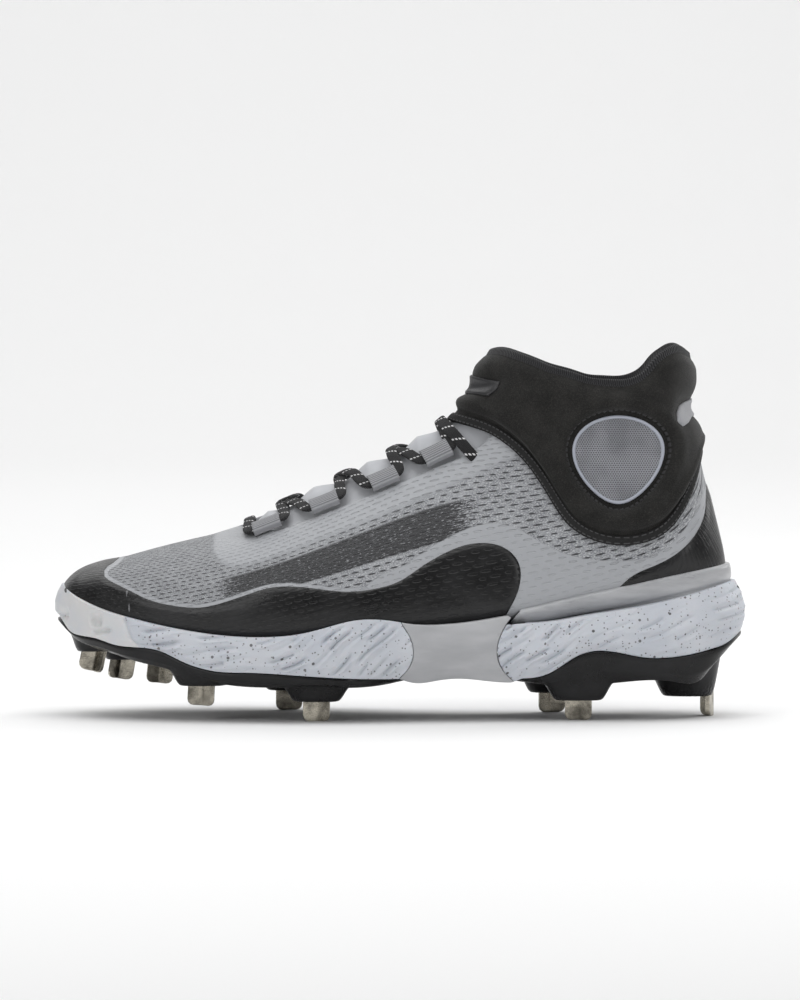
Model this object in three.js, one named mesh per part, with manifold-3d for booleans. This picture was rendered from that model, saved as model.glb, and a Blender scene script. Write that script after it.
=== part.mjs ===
// A mid-cut baseball cleat for the left foot, in millimetres.
// The toe points along -X, the outer (lateral) side faces -Y, and the studs stand on z = 0.
import * as THREE from "three";
import { mergeVertices } from "three/addons/utils/BufferGeometryUtils.js";
import Module from "manifold-3d";

// Driving dimensions
const LENGTH = 300; // toe bumper to heel, outside
const HEIGHT = 160; // floor to the top of the heel's lip
const BALL_WIDTH = 106; // sole, at the ball of the foot
const CLEARANCE = 0.3; // between two pieces that meet
const UPPER_WALL = 2.4; // knit with its fused films
const GUARD_FILM = 0.9; // toe guard and heel counter, over the knit
const COLLAR_PAD = 3.4; // how far the padded collar stands out of the upper's form
const COLLAR_INSIDE = 5; // and how far it reaches inside that form
const WINDOW_PANEL = 1.4; // ankle window's mesh panel
const WINDOW_RIM = 1.1; // the moulded rim's height over that panel
const WINDOW_RIM_WIDTH = 2.4;
const PATCH_THICKNESS = 1.1; // front patch and rear strap
const TONGUE_THICKNESS = 3.4;
const TONGUE_CROWN = 3.6; // how far the tongue swells between two crossings of the lace
const TONGUE_SINK = 0.4; // and how far it is pressed in at a crossing
const TONGUE_DIP = 9; // a crossing's reach along the tongue
const TONGUE_LAP = 4; // tongue beyond the throat's edge, on each side
const INSOLE_THICKNESS = 4.5;
const RAIL_LIP = 2; // heel rail's top edge, over the upper
const RAIL_BEAD = 3.4; // heel rail's lower bead, over the upper
const STUD_WIDTH = 11.6;
const STUD_THICKNESS = 2.2;
const STUD_EXPOSED = 8.8; // blade below its pod
const STUD_ROOT = 2.4; // blade inside its pod
const STUD_BEND = 3; // how far the blade's middle stands ahead of its edges
const POD_ROOT = 2.5; // pod inside the plate
const POD_FACETS = 8;
const LACE_WIDTH = 5.4;
const LACE_THICKNESS = 2.4;
const LOOP_LENGTH = 12.5; // webbing lace loop, along the shoe
const LOOP_WIDTH = 9;
const LOOP_WEBBING = 0.9;

// Facets
const RINGS = 20; // sections of the upper's form, toe to ankle
const AROUND = 20; // points round each section
const STATIONS = 24; // sections of the sole, toe to heel
const FACET_TOLERANCE = 0.14; // how far a facet may stand off the shape

const wasm = await Module();
wasm.setup();

// Places are shares of the size that they follow: x from the toe tip, z from the floor, y from the heel's middle.
const atX = (share) => (share - 0.5) * LENGTH;
const atZ = (share) => share * HEIGHT;
const atY = (share) => share * BALL_WIDTH;

// A natural cubic spline through (knots, values). flatStart makes it leave its first knot level.
function spline(knots, values, flatStart = false) {
  const last = knots.length - 1;
  const step = (i) => knots[i + 1] - knots[i];
  const slope = (i) => (values[i + 1] - values[i]) / step(i);
  const bends = new Array(last + 1).fill(0);
  const ratio = new Array(last + 1).fill(0);
  if (flatStart) {
    ratio[0] = 0.5;
    bends[0] = (3 * slope(0)) / step(0);
  }
  for (let i = 1; i < last; i++) {
    const pivot = 2 * (step(i - 1) + step(i)) - step(i - 1) * ratio[i - 1];
    ratio[i] = step(i) / pivot;
    bends[i] = (6 * (slope(i) - slope(i - 1)) - step(i - 1) * bends[i - 1]) / pivot;
  }
  bends[last] = 0;
  for (let i = last - 1; i >= 0; i--) bends[i] -= ratio[i] * bends[i + 1];
  return (at) => {
    let i = 0;
    while (i < last - 1 && at > knots[i + 1]) i++;
    const h = step(i);
    const t = Math.min(Math.max(at, knots[0]), knots[last]);
    const a = (knots[i + 1] - t) / h;
    const b = (t - knots[i]) / h;
    const curved = (a ** 3 - a) * bends[i] + (b ** 3 - b) * bends[i + 1];
    return a * values[i] + b * values[i + 1] + (curved * h * h) / 6;
  };
}

const smooth = (low, high, value) => {
  const t = Math.min(Math.max((value - low) / (high - low), 0), 1);
  return t * t * (3 - 2 * t);
};

// The last as a fan of sections: upright at the toe, leaning back over the instep, level at the ankle.
// Each runs from keel (under the foot, then up the heel) to crest (over the foot, then up the shin).
// belly: how far up its widest place lies. crown and base: roundness of its two ends, 2 being an ellipse.
const FANS = [
  // keel x, keel z, crest x, crest z, outer, inner, keel y, crest y, belly, crown, base
  [0.01, 0.325, 0.01, 0.325, 0, 0, 0.075, 0.075, 0.42, 2.1, 2.2],
  [0.019, 0.3, 0.0175, 0.362, 0.15, 0.142, 0.073, 0.076, 0.4, 2.15, 2.4],
  [0.046, 0.277, 0.044, 0.4, 0.252, 0.238, 0.062, 0.08, 0.34, 2.2, 3],
  [0.093, 0.251, 0.093, 0.427, 0.33, 0.326, 0.057, 0.085, 0.3, 2.25, 3.5],
  [0.153, 0.229, 0.153, 0.458, 0.392, 0.384, 0.043, 0.085, 0.28, 2.2, 4],
  [0.22, 0.213, 0.222, 0.49, 0.435, 0.423, 0.028, 0.08, 0.26, 2.1, 4.2],
  [0.293, 0.204, 0.29, 0.529, 0.463, 0.445, 0.009, 0.066, 0.25, 2, 4.2],
  [0.373, 0.204, 0.36, 0.588, 0.462, 0.425, -0.009, 0.047, 0.24, 1.95, 4.2],
  [0.46, 0.213, 0.427, 0.648, 0.432, 0.382, -0.028, 0.033, 0.22, 1.9, 4.2],
  [0.553, 0.231, 0.487, 0.704, 0.382, 0.33, -0.038, 0.019, 0.2, 1.85, 4],
  [0.66, 0.259, 0.533, 0.75, 0.341, 0.293, -0.033, 0.009, 0.2, 1.85, 4],
  [0.773, 0.291, 0.563, 0.787, 0.312, 0.283, -0.019, 0.005, 0.22, 1.85, 3.6],
  [0.873, 0.309, 0.585, 0.828, 0.307, 0.292, -0.009, 0, 0.25, 1.9, 3.2],
  [0.943, 0.328, 0.595, 0.864, 0.311, 0.298, 0, 0, 0.3, 1.95, 2.6],
  [0.9695, 0.388, 0.604, 0.891, 0.311, 0.305, 0, 0, 0.35, 2, 2.3],
  [0.9625, 0.488, 0.613, 0.918, 0.311, 0.307, 0, 0, 0.38, 2.05, 2.2],
  [0.9495, 0.588, 0.621, 0.946, 0.307, 0.307, 0, 0, 0.4, 2.1, 2.2],
  [0.937, 0.688, 0.628, 0.975, 0.307, 0.307, 0, 0, 0.42, 2.1, 2.2],
  [0.925, 0.8, 0.634, 1.006, 0.311, 0.311, 0, 0, 0.44, 2.15, 2.2],
  [0.918, 0.913, 0.637, 1.044, 0.321, 0.321, 0, 0, 0.45, 2.2, 2.2],
  [0.92, 1.04, 0.638, 1.1, 0.33, 0.33, 0, 0, 0.45, 2.2, 2.2],
];
const FAN_COLUMNS = [
  "keelX", "keelZ", "crestX", "crestZ", "outer", "inner", "keelY", "crestY", "belly", "crown", "base",
];
const LAST_FAN = FANS.length - 1;
const fanCurves = FAN_COLUMNS.map((name, column) =>
  spline(FANS.map((row, i) => i), FANS.map((row) => row[column]), name === "keelX" || name === "crestX"),
);

// Half a section, from crest to keel: side is -1 for the outer half and 1 for the inner half.
const HALF_SAMPLES = 48;
function halfSection(fan, side) {
  const [keelX, keelZ, crestX, crestZ, outer, inner, keelY, crestY, belly, crown, base] = fanCurves.map((c) => c(fan));
  const width = atY(side < 0 ? outer : inner);
  return Array.from({ length: HALF_SAMPLES + 1 }, (none, i) => {
    const angle = (i / HALF_SAMPLES) * Math.PI;
    const above = Math.cos(angle) >= 0;
    const power = 2 / (above ? crown : base);
    const reach = Math.abs(Math.cos(angle)) ** power;
    const up = above ? belly + (1 - belly) * reach : belly * (1 - reach);
    const middle = atY(keelY) + (above ? (atY(crestY) - atY(keelY)) * reach ** 2 : 0);
    return new THREE.Vector3(
      atX(keelX + (crestX - keelX) * up),
      middle + side * width * Math.abs(Math.sin(angle)) ** power,
      atZ(keelZ + (crestZ - keelZ) * up),
    );
  });
}

// A point of the form. across runs from -1 (keel, round the outer side) over 0 (crest) to 1 (keel, round the inner side),
// in even steps of length along the section.
const sectionCache = new Map();
function formPoint(fan, across) {
  const side = across < 0 ? -1 : 1;
  const key = fan.toFixed(5) + side;
  if (!sectionCache.has(key)) {
    const points = halfSection(fan, side);
    const lengths = [0];
    for (let i = 1; i < points.length; i++) lengths.push(lengths[i - 1] + points[i].distanceTo(points[i - 1]));
    sectionCache.set(key, { points, lengths });
  }
  const { points, lengths } = sectionCache.get(key);
  const target = Math.min(Math.abs(across), 1) * lengths[HALF_SAMPLES];
  let i = 1;
  while (i < HALF_SAMPLES && lengths[i] < target) i++;
  const share = (target - lengths[i - 1]) / (lengths[i] - lengths[i - 1] || 1);
  return points[i - 1].clone().lerp(points[i], share);
}

// The outward normal there, from neighbours on the form.
const FAN_STEP = 0.06;
const ACROSS_STEP = 0.03;
function formNormal(fan, across) {
  const wrap = (value) => (value > 1 ? value - 2 : value < -1 ? value + 2 : value);
  const along = formPoint(Math.min(fan + FAN_STEP, LAST_FAN), across).sub(formPoint(Math.max(fan - FAN_STEP, 0), across));
  const round = formPoint(fan, wrap(across + ACROSS_STEP)).sub(formPoint(fan, wrap(across - ACROSS_STEP)));
  return along.cross(round).normalize();
}

function formOffset(fan, across, offset) {
  const base = formPoint(fan, across);
  const by = typeof offset === "function" ? offset(base, fan, across) : offset;
  return base.addScaledVector(formNormal(fan, across), by);
}

// The place on the form, as { fan, across }, that shows at x and z from the given side.
function findOnForm(x, z, side, fromFan = 1, toFan = LAST_FAN) {
  let best = { fan: fromFan, across: 0, miss: Infinity };
  const search = (fanLow, fanHigh, acrossLow, acrossHigh) => {
    const steps = 16;
    for (let i = 0; i <= steps; i++)
      for (let j = 0; j <= steps; j++) {
        const fan = fanLow + ((fanHigh - fanLow) * i) / steps;
        const across = acrossLow + ((acrossHigh - acrossLow) * j) / steps;
        const p = formPoint(fan, side * across);
        const miss = Math.hypot(p.x - x, p.z - z);
        if (miss < best.miss) best = { fan, across: side * across, miss };
      }
  };
  search(fromFan, toFan, 0.02, 0.98);
  for (let fanReach = 0.6, reach = 0.05; reach > 0.0005; fanReach /= 3, reach /= 3) {
    const { fan, across } = best;
    search(
      Math.max(fan - fanReach, fromFan), Math.min(fan + fanReach, toFan),
      Math.max(Math.abs(across) - reach, 0), Math.min(Math.abs(across) + reach, 1),
    );
  }
  return best;
}

// Solids
function manifoldFrom(points, triangles) {
  const mesh = new wasm.Mesh({
    numProp: 3,
    vertProperties: Float32Array.from(points.flatMap((p) => [p.x, p.y, p.z])),
    triVerts: Uint32Array.from(triangles.flat()),
  });
  mesh.merge();
  const made = new wasm.Manifold(mesh);
  if (made.volume() >= 0) return made;
  return manifoldFrom(points, triangles.map(([a, b, c]) => [a, c, b]));
}

function manifoldOf(geometry) {
  const bare = geometry.index ? geometry.toNonIndexed() : geometry.clone();
  bare.deleteAttribute("normal");
  bare.deleteAttribute("uv");
  const merged = mergeVertices(bare, 1e-4);
  const made = new wasm.Manifold(
    new wasm.Mesh({
      numProp: 3,
      vertProperties: merged.attributes.position.array,
      triVerts: new Uint32Array(merged.index.array),
    }),
  );
  return made;
}

// A closed skin over rings of equal length; a ring of one point closes an end.
function skin(rings) {
  const points = [];
  const starts = rings.map((ring) => points.push(...ring) - ring.length);
  const triangles = [];
  for (let r = 1; r < rings.length; r++) {
    const count = Math.max(rings[r].length, rings[r - 1].length);
    const pick = (ring, i) => starts[ring] + (rings[ring].length === 1 ? 0 : i % count);
    for (let i = 0; i < count; i++) {
      const [a, b, c, d] = [pick(r - 1, i), pick(r - 1, i + 1), pick(r, i + 1), pick(r, i)];
      if (a !== b) triangles.push([a, b, c]);
      if (c !== d) triangles.push([a, c, d]);
    }
  }
  return manifoldFrom(points, triangles);
}

const centreOf = (ring) => ring.reduce((sum, p) => sum.add(p), new THREE.Vector3()).divideScalar(ring.length);

// The whole form, grown by offset, from one fan to another.
function formSolid(offset, fromFan = 0, toFan = LAST_FAN, ringCount = RINGS) {
  const rings = [];
  for (let r = 0; r <= ringCount; r++) {
    const fan = fromFan + ((toFan - fromFan) * r) / ringCount;
    if (fan === 0) {
      const tip = formPoint(0, 0);
      tip.x -= typeof offset === "function" ? offset(tip, 0, 0) : offset;
      rings.push([tip]);
      continue;
    }
    const ring = Array.from({ length: AROUND }, (none, i) => formOffset(fan, -1 + (2 * i) / AROUND, offset));
    if (r === 0) rings.push([centreOf(ring)]);
    rings.push(ring);
    if (r === ringCount) rings.push([centreOf(ring)]);
  }
  return skin(rings);
}

// A prism that cuts straight across the shoe: outline holds [x, z] points.
const FAR = 200;
function sidePrism(outline, fromY = -FAR, toY = FAR) {
  const shape = new THREE.Shape(outline.map(([x, z]) => new THREE.Vector2(x, z)));
  const geometry = new THREE.ExtrudeGeometry(shape, { depth: toY - fromY, bevelEnabled: false });
  geometry.rotateX(Math.PI / 2);
  geometry.translate(0, toY, 0);
  return manifoldOf(geometry);
}

// A prism that cuts straight down: outline holds [x, y] points.
function planPrism(outline, fromZ, toZ) {
  const shape = new THREE.Shape(outline.map(([x, y]) => new THREE.Vector2(x, y)));
  const geometry = new THREE.ExtrudeGeometry(shape, { depth: toZ - fromZ, bevelEnabled: false });
  geometry.translate(0, 0, fromZ);
  return manifoldOf(geometry);
}

const sampled = (line, from, to, steps) =>
  Array.from({ length: steps + 1 }, (none, i) => {
    const x = from + ((to - from) * i) / steps;
    return [x, line(x)];
  });
const raised = (line, by) => (x) => line(x) + by;
const LINE_STEPS = 34;
// All that lies between two side-view lines, from one x to another.
function band(lower, upper, from = -FAR, to = FAR) {
  const low = Math.max(from, atX(-0.04));
  const high = Math.min(to, atX(1.04));
  return sidePrism([
    ...sampled(lower, low, high, LINE_STEPS),
    ...sampled(upper, low, high, LINE_STEPS).reverse(),
  ]);
}
const above = (line) => band(line, () => 2 * HEIGHT);
const below = (line) => band(() => -HEIGHT, line);

function sideLine(rows) {
  return spline(rows.map(([x]) => atX(x)), rows.map(([, z]) => atZ(z)));
}

// Lines of the side view: [x, z]
const bumperTop = sideLine([
  [-0.03, 0.372], [0.012, 0.35], [0.03, 0.333], [0.067, 0.301], [0.11, 0.278], [0.16, 0.2575], [0.218, 0.24],
  [0.269, 0.232], [0.313, 0.232], [0.356, 0.24], [0.4, 0.26], [0.435, 0.276], [0.465, 0.279], [0.493, 0.274],
  [0.515, 0.267], [0.56, 0.264], [0.6, 0.27], [0.645, 0.283], [0.7, 0.3], [0.8, 0.33], [1.04, 0.4],
]);
const railTop = sideLine([[-0.04, 0.05], [0.6, 0.2725], [0.663, 0.297], [0.732, 0.327], [0.82, 0.3625], [0.906, 0.397],
  [0.973, 0.418], [1.04, 0.435]]);
const railFoot = sideLine([[-0.04, 0.21], [0.6, 0.25], [0.664, 0.264], [0.717, 0.27], [0.766, 0.285], [0.838, 0.306],
  [0.909, 0.333], [0.981, 0.364], [1.04, 0.385]]);
const plateTop = sideLine([
  [-0.04, 0.29], [0.004, 0.262], [0.018, 0.241], [0.064, 0.22], [0.088, 0.206], [0.124, 0.199], [0.157, 0.19],
  [0.184, 0.167], [0.21, 0.149], [0.239, 0.138], [0.28, 0.136], [0.356, 0.129], [0.428, 0.121], [0.491, 0.118],
  [0.524, 0.12], [0.56, 0.132], [0.608, 0.132], [0.65, 0.122], [0.686, 0.118], [0.718, 0.134], [0.753, 0.175],
  [0.789, 0.191], [0.813, 0.186], [0.85, 0.1725], [0.873, 0.17], [0.921, 0.179], [0.957, 0.194], [0.981, 0.21],
  [0.996, 0.228], [1.04, 0.25],
]);
const archFoot = sideLine([[-0.04, 0.13], [0.5, 0.119], [0.527, 0.106], [0.556, 0.112], [0.586, 0.117], [0.615, 0.113],
  [0.645, 0.107], [0.67, 0.106], [1.04, 0.12]]);
const plateFoot = sideLine([
  [-0.04, 0.25], [0.003, 0.237], [0.023, 0.206], [0.06, 0.183], [0.107, 0.16], [0.153, 0.142], [0.2, 0.118],
  [0.247, 0.1], [0.3, 0.094], [0.4, 0.094], [0.5, 0.1], [0.54, 0.112], [0.64, 0.112],
  [0.7, 0.1], [0.8, 0.1], [0.9, 0.104], [0.95, 0.112], [0.985, 0.181], [1.04, 0.22],
]);
const collarSeam = sideLine([
  [0.5, 0.82], [0.577, 0.809], [0.599, 0.801], [0.64, 0.774], [0.663, 0.744], [0.685, 0.704], [0.707, 0.647],
  [0.724, 0.595], [0.74, 0.55], [0.765, 0.511], [0.793, 0.491], [0.829, 0.486], [0.862, 0.501], [0.89, 0.541],
  [0.912, 0.61], [0.923, 0.664], [0.931, 0.716], [0.95, 0.76], [1.0, 0.8],
]);
const topLine = sideLine([
  [0.5, 0.955], [0.6, 0.967], [0.624, 0.985], [0.645, 0.993], [0.667, 0.9825], [0.689, 0.969], [0.711, 0.951],
  [0.732, 0.94], [0.776, 0.916], [0.799, 0.911], [0.822, 0.911], [0.845, 0.925], [0.857, 0.945], [0.868, 0.97],
  [0.88, 0.989], [0.892, 1.0], [0.903, 1.0], [0.915, 0.986], [0.96, 0.93],
]);
// The ends of the foam's two halves, which the arch piece fits between
const foreEnd = [[0.498, 0.29], [0.502, 0.27], [0.513, 0.236], [0.519, 0.2], [0.516, 0.16], [0.502, 0.125], [0.49, 0.1]];
const heelStart = [[0.68, 0.31], [0.664, 0.287], [0.647, 0.242], [0.64, 0.195], [0.647, 0.145], [0.666, 0.108],
  [0.69, 0.085]];

// The sole's outline from above: [share of length, outer y, inner y]
const OUTLINE = [
  [0, 0.075, 0.075],
  [0.02, -0.123, 0.255],
  [0.05, -0.226, 0.349],
  [0.1, -0.321, 0.425],
  [0.18, -0.41, 0.476],
  [0.27, -0.476, 0.495],
  [0.36, -0.509, 0.462],
  [0.45, -0.5, 0.396],
  [0.55, -0.462, 0.325],
  [0.65, -0.425, 0.292],
  [0.75, -0.401, 0.307],
  [0.85, -0.377, 0.33],
  [0.92, -0.33, 0.311],
  [0.97, -0.245, 0.241],
  [1, 0, 0],
];
// Even steps of turn give both ends their round shape.
const turnOf = (share) => Math.acos(1 - 2 * share);
const outlineOuter = spline(OUTLINE.map(([s]) => turnOf(s)), OUTLINE.map(([, outer]) => atY(outer)));
const outlineInner = spline(OUTLINE.map(([s]) => turnOf(s)), OUTLINE.map(([, , inner]) => atY(inner)));
function outlinePoint(turn, side, inset) {
  const line = side < 0 ? outlineOuter : outlineInner;
  const place = (t) => new THREE.Vector2(atX((1 - Math.cos(t)) / 2), line(t));
  const clamped = Math.min(Math.max(turn, 0), Math.PI);
  const before = place(Math.max(clamped - 0.02, 0));
  const after = place(Math.min(clamped + 0.02, Math.PI));
  const direction = after.sub(before).normalize();
  const outward = new THREE.Vector2(-direction.y, direction.x).multiplyScalar(side);
  if (turn <= 0) outward.set(-1, 0);
  if (turn >= Math.PI) outward.set(1, 0);
  return place(clamped).addScaledVector(outward, -inset);
}

// A block with the sole's outline. rows go from its foot to its top, each with a height share, an inset at the toe
// and forefoot, one at the arch and one at the heel.
function soleBlock(lower, upper, rows) {
  const insetAt = ([, fore, arch, heel], share) => {
    const toArch = smooth(0.42, 0.54, share);
    const toHeel = smooth(0.6, 0.74, share);
    return fore + (arch - fore) * toArch + (heel - arch) * toHeel;
  };
  const points = [];
  const column = (turn, side) => {
    const share = (1 - Math.cos(turn)) / 2;
    const [low, high] = [lower(atX(share)), upper(atX(share))];
    return rows.map((row) => {
      const at = outlinePoint(turn, side, insetAt(row, share));
      return new THREE.Vector3(at.x, at.y, low + (high - low) * row[0]);
    });
  };
  const index = [];
  for (let k = 0; k <= STATIONS; k++) {
    const turn = (Math.PI * k) / STATIONS;
    const atEnd = k === 0 || k === STATIONS;
    const outer = column(turn, -1).map((p) => points.push(p) - 1);
    const inner = atEnd ? outer : column(turn, 1).map((p) => points.push(p) - 1);
    index.push([...outer, ...[...inner].reverse()]);
  }
  const triangles = [];
  const count = index[0].length;
  for (let k = 0; k < STATIONS; k++)
    for (let i = 0; i < count; i++) {
      const j = (i + 1) % count;
      const quad = [index[k][i], index[k][j], index[k + 1][j], index[k + 1][i]];
      for (const [a, b, c] of [[quad[0], quad[1], quad[2]], [quad[0], quad[2], quad[3]]])
        if (a !== b && b !== c && a !== c) triangles.push([a, b, c]);
    }
  return manifoldFrom(points, triangles);
}

// Outlines that the side view shows, as [x, z]: the toe guard's edge over the foot, the heel counter's front edge
// and the rubber patch in front of the collar
const GUARD_EDGE = [
  [0.098, 0.55], [0.087, 0.418], [0.075, 0.402], [0.074, 0.388], [0.0825, 0.3745], [0.1085, 0.353], [0.139, 0.328],
  [0.177, 0.312], [0.2185, 0.309], [0.253, 0.3255], [0.2865, 0.347], [0.317, 0.3635], [0.346, 0.3665], [0.381, 0.361],
  [0.423, 0.353], [0.473, 0.3635], [0.5, 0.38], [0.527, 0.4125], [0.564, 0.453], [0.595, 0.475], [0.62, 0.48],
  [0.65, 0.467], [0.67, 0.429], [0.673, 0.38], [0.666, 0.334], [0.651, 0.28], [0.64, 0.2],
];
const COUNTER_EDGE = [
  [0.77, 0.26], [0.79, 0.314], [0.806, 0.342], [0.832, 0.388], [0.87, 0.421], [0.9, 0.453], [0.925, 0.5],
  [0.941, 0.573], [0.945, 0.635], [1.02, 0.65],
];
const PATCH = [[0.56, 0.915], [0.611, 0.917], [0.648, 0.909], [0.645, 0.887], [0.634, 0.869], [0.604, 0.873], [0.56, 0.873]];
const STRAP = [[0.893, 0.825], [0.9, 0.845], [0.912, 0.856], [1.02, 0.862], [1.02, 0.818], [0.912, 0.805], [0.9, 0.788],
  [0.893, 0.792]];

// The collar's padding: two bellows in front, a waist behind for the strap, a dish round each ankle window
const WINDOW = { x: 0.8133, z: 0.703, halfWidth: 0.0637, halfHeight: 0.1195 };
// A guitar-pick outline round the window's middle, wide above and narrow below
function windowOutline(grow = 0, steps = 20) {
  return Array.from({ length: steps }, (none, i) => {
    const angle = (2 * Math.PI * i) / steps;
    const rise = Math.sin(angle);
    const width = LENGTH * WINDOW.halfWidth * (1 + 0.22 * rise - 0.06 * rise * rise) + grow;
    return [atX(WINDOW.x) + width * Math.cos(angle), atZ(WINDOW.z) + (HEIGHT * WINDOW.halfHeight + grow) * rise];
  });
}
const BELLOWS = { x: 0.611, z: 0.89, halfHeight: 3.6, slope: 0.3, depth: 3.6 };
const WAIST = { z: 0.838, halfHeight: 6, depth: 4.8 };
const DISH_DEPTH = 2.4;
const SEAM_EDGE = 0.5; // how far the collar stands out at its sewn edge and at its lip
const LIP_INSIDE = 1.6; // and how far its lip reaches inside the form
function collarPad(p) {
  const fromSeam = smooth(0, 9, p.z - collarSeam(p.x));
  const fromTop = smooth(-1, 7, topLine(p.x) - p.z);
  const front = 1 - smooth(atX(0.62), atX(0.68), p.x);
  const back = smooth(atX(0.88), atX(0.915), p.x);
  const fold = (p.z - atZ(BELLOWS.z) - BELLOWS.slope * (p.x - atX(BELLOWS.x))) / BELLOWS.halfHeight;
  const waist = (p.z - atZ(WAIST.z)) / WAIST.halfHeight;
  const reach = Math.hypot(
    (p.x - atX(WINDOW.x)) / (LENGTH * WINDOW.halfWidth),
    (p.z - atZ(WINDOW.z)) / (HEIGHT * WINDOW.halfHeight),
  );
  const hollows =
    front * BELLOWS.depth * Math.exp(-fold * fold) +
    back * WAIST.depth * Math.exp(-waist * waist) +
    DISH_DEPTH * (1 - smooth(0.95, 1.3, reach));
  return SEAM_EDGE + (COLLAR_PAD - SEAM_EDGE) * Math.min(fromSeam, fromTop) - hollows;
}
const overCollar = (by) => (p) => collarPad(p) + by;
// The collar's inner face, drawn in towards the top so that the lip is round
const insideCollar = (p) => -LIP_INSIDE - (COLLAR_INSIDE - LIP_INSIDE) * smooth(-1, 7, topLine(p.x) - p.z);

// Named meshes
const shoe = new THREE.Group();
function finish(color, roughness, metalness = 0) {
  return new THREE.MeshStandardMaterial({ color, roughness, metalness, flatShading: true });
}
const FINISH = {
  knit: finish(0xa9abae, 0.8),
  film: finish(0x17181a, 0.4),
  cuff: finish(0x161616, 0.9),
  mesh: finish(0x8d9096, 0.7),
  foam: finish(0xdadde3, 0.6),
  shank: finish(0xc9cbcf, 0.4),
  rail: finish(0xa5a8ad, 0.35),
  plate: finish(0x141414, 0.3),
  steel: finish(0xb5ad98, 0.3, 1),
  webbing: finish(0x9b9da1, 0.85),
  lace: finish(0x111112, 0.9),
  sock: finish(0x1c1c1e, 0.95),
};
// The largest body of a cut, without the slivers beside it
function addPart(name, solid, material) {
  const body = solid.decompose().reduce((best, next) => (next.volume() > best.volume() ? next : best));
  const { vertProperties, triVerts } = body.simplify(FACET_TOLERANCE).getMesh();
  const geometry = new THREE.BufferGeometry();
  geometry.setAttribute("position", new THREE.BufferAttribute(new Float32Array(vertProperties), 3));
  geometry.setIndex(new THREE.BufferAttribute(new Uint32Array(triVerts), 1));
  geometry.computeVertexNormals();
  const mesh = new THREE.Mesh(geometry, material);
  mesh.name = name;
  shoe.add(mesh);
}

const outsideForm = formSolid(0);
const insideForm = formSolid(-UPPER_WALL);
const clearForm = formSolid(CLEARANCE);

// Throat: its outer edge as the side view shows it, [x, z], mirrored over the crest of the foot
const THROAT_EDGE = [[0.294, 0.489], [0.34, 0.519], [0.381, 0.549], [0.462, 0.608], [0.543, 0.672], [0.602, 0.72]];
const THROAT_FRONT = 0.27;
const INSTEP_FANS = [4, 14]; // sections that the throat and the loops lie on
const ANKLE_FANS = [8, 16]; // and the top eyelet
const crestMiddle = (fan) => formPoint(fan, 0).y;
const throatPlaces = THROAT_EDGE.map(([x, z]) => {
  const place = findOnForm(atX(x), atZ(z), -1, ...INSTEP_FANS);
  const middle = crestMiddle(place.fan);
  return { x: atX(x), middle, half: middle - formPoint(place.fan, place.across).y };
});
const throatMiddle = spline(throatPlaces.map(({ x }) => x), throatPlaces.map(({ middle }) => middle));
const throatHalf = spline(throatPlaces.map(({ x }) => x), throatPlaces.map(({ half }) => half));
// Half the opening's width, drawn in to its round front end
const THROAT_ROUND = 0.055;
function openHalf(x, grow = 0) {
  const share = (x - atX(THROAT_FRONT) + grow) / (THROAT_ROUND * LENGTH);
  return (throatHalf(x) + grow) * Math.sqrt(Math.min(1, Math.max(0, share)));
}
function throatOutline(grow) {
  const front = atX(THROAT_FRONT) - grow;
  const steps = [0, 0.02, 0.06, 0.13, 0.25, 0.4, 0.6, 0.8, 1];
  const edge = (side) =>
    steps.map((step) => {
      const x = front + (atX(0.602) - front) * step;
      return [x, throatMiddle(x) + side * openHalf(x, grow)];
    });
  return [...edge(-1), ...edge(1).reverse().slice(0, -1)];
}

// The tongue's outline from above, under the throat's edges
function tongueOutline() {
  const rows = [THROAT_FRONT - 0.03, 0.29, 0.35, 0.45, 0.55, 0.62];
  const edge = (side) =>
    rows.map((x) => [atX(x), throatMiddle(atX(x)) + side * (throatHalf(atX(x)) + TONGUE_LAP)]);
  return [...edge(-1), ...edge(1).reverse()];
}

// Upper: one hollow wall, open at the throat, the collar and underfoot
const FOOTBED_FANS = 14; // sections whose keel lies under the foot
const UNDERFOOT_DEPTH = 6; // how deep the opening underneath is cut, down and up from the footbed
const footbed = sideLine(FANS.slice(0, FOOTBED_FANS).map(([x, z]) => [x, z]));
const underfoot = insideForm
  .translate([0, 0, -UNDERFOOT_DEPTH])
  .intersect(below(raised(footbed, UNDERFOOT_DEPTH)));
const upper = outsideForm
  .subtract(insideForm)
  .subtract(underfoot)
  .subtract(planPrism(throatOutline(0), atZ(0.4), 2 * HEIGHT))
  .subtract(above(collarSeam));
addPart("upper", upper, FINISH.knit);

addPart(
  "insole",
  formSolid(-UPPER_WALL - CLEARANCE)
    .intersect(below(raised(footbed, INSOLE_THICKNESS)))
    .subtract(sidePrism([[atX(0.99), 0], [atX(1.1), 0], [atX(1.1), HEIGHT], [atX(0.99), HEIGHT]])),
  FINISH.sock,
);

// A smooth curve through shares of the shoe's length and height
function curveThrough(rows, perRow = 2) {
  const curve = new THREE.SplineCurve(rows.map(([x, z]) => new THREE.Vector2(atX(x), atZ(z))));
  return curve.getPoints(rows.length * perRow).map(({ x, y }) => [x, y]);
}

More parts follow.
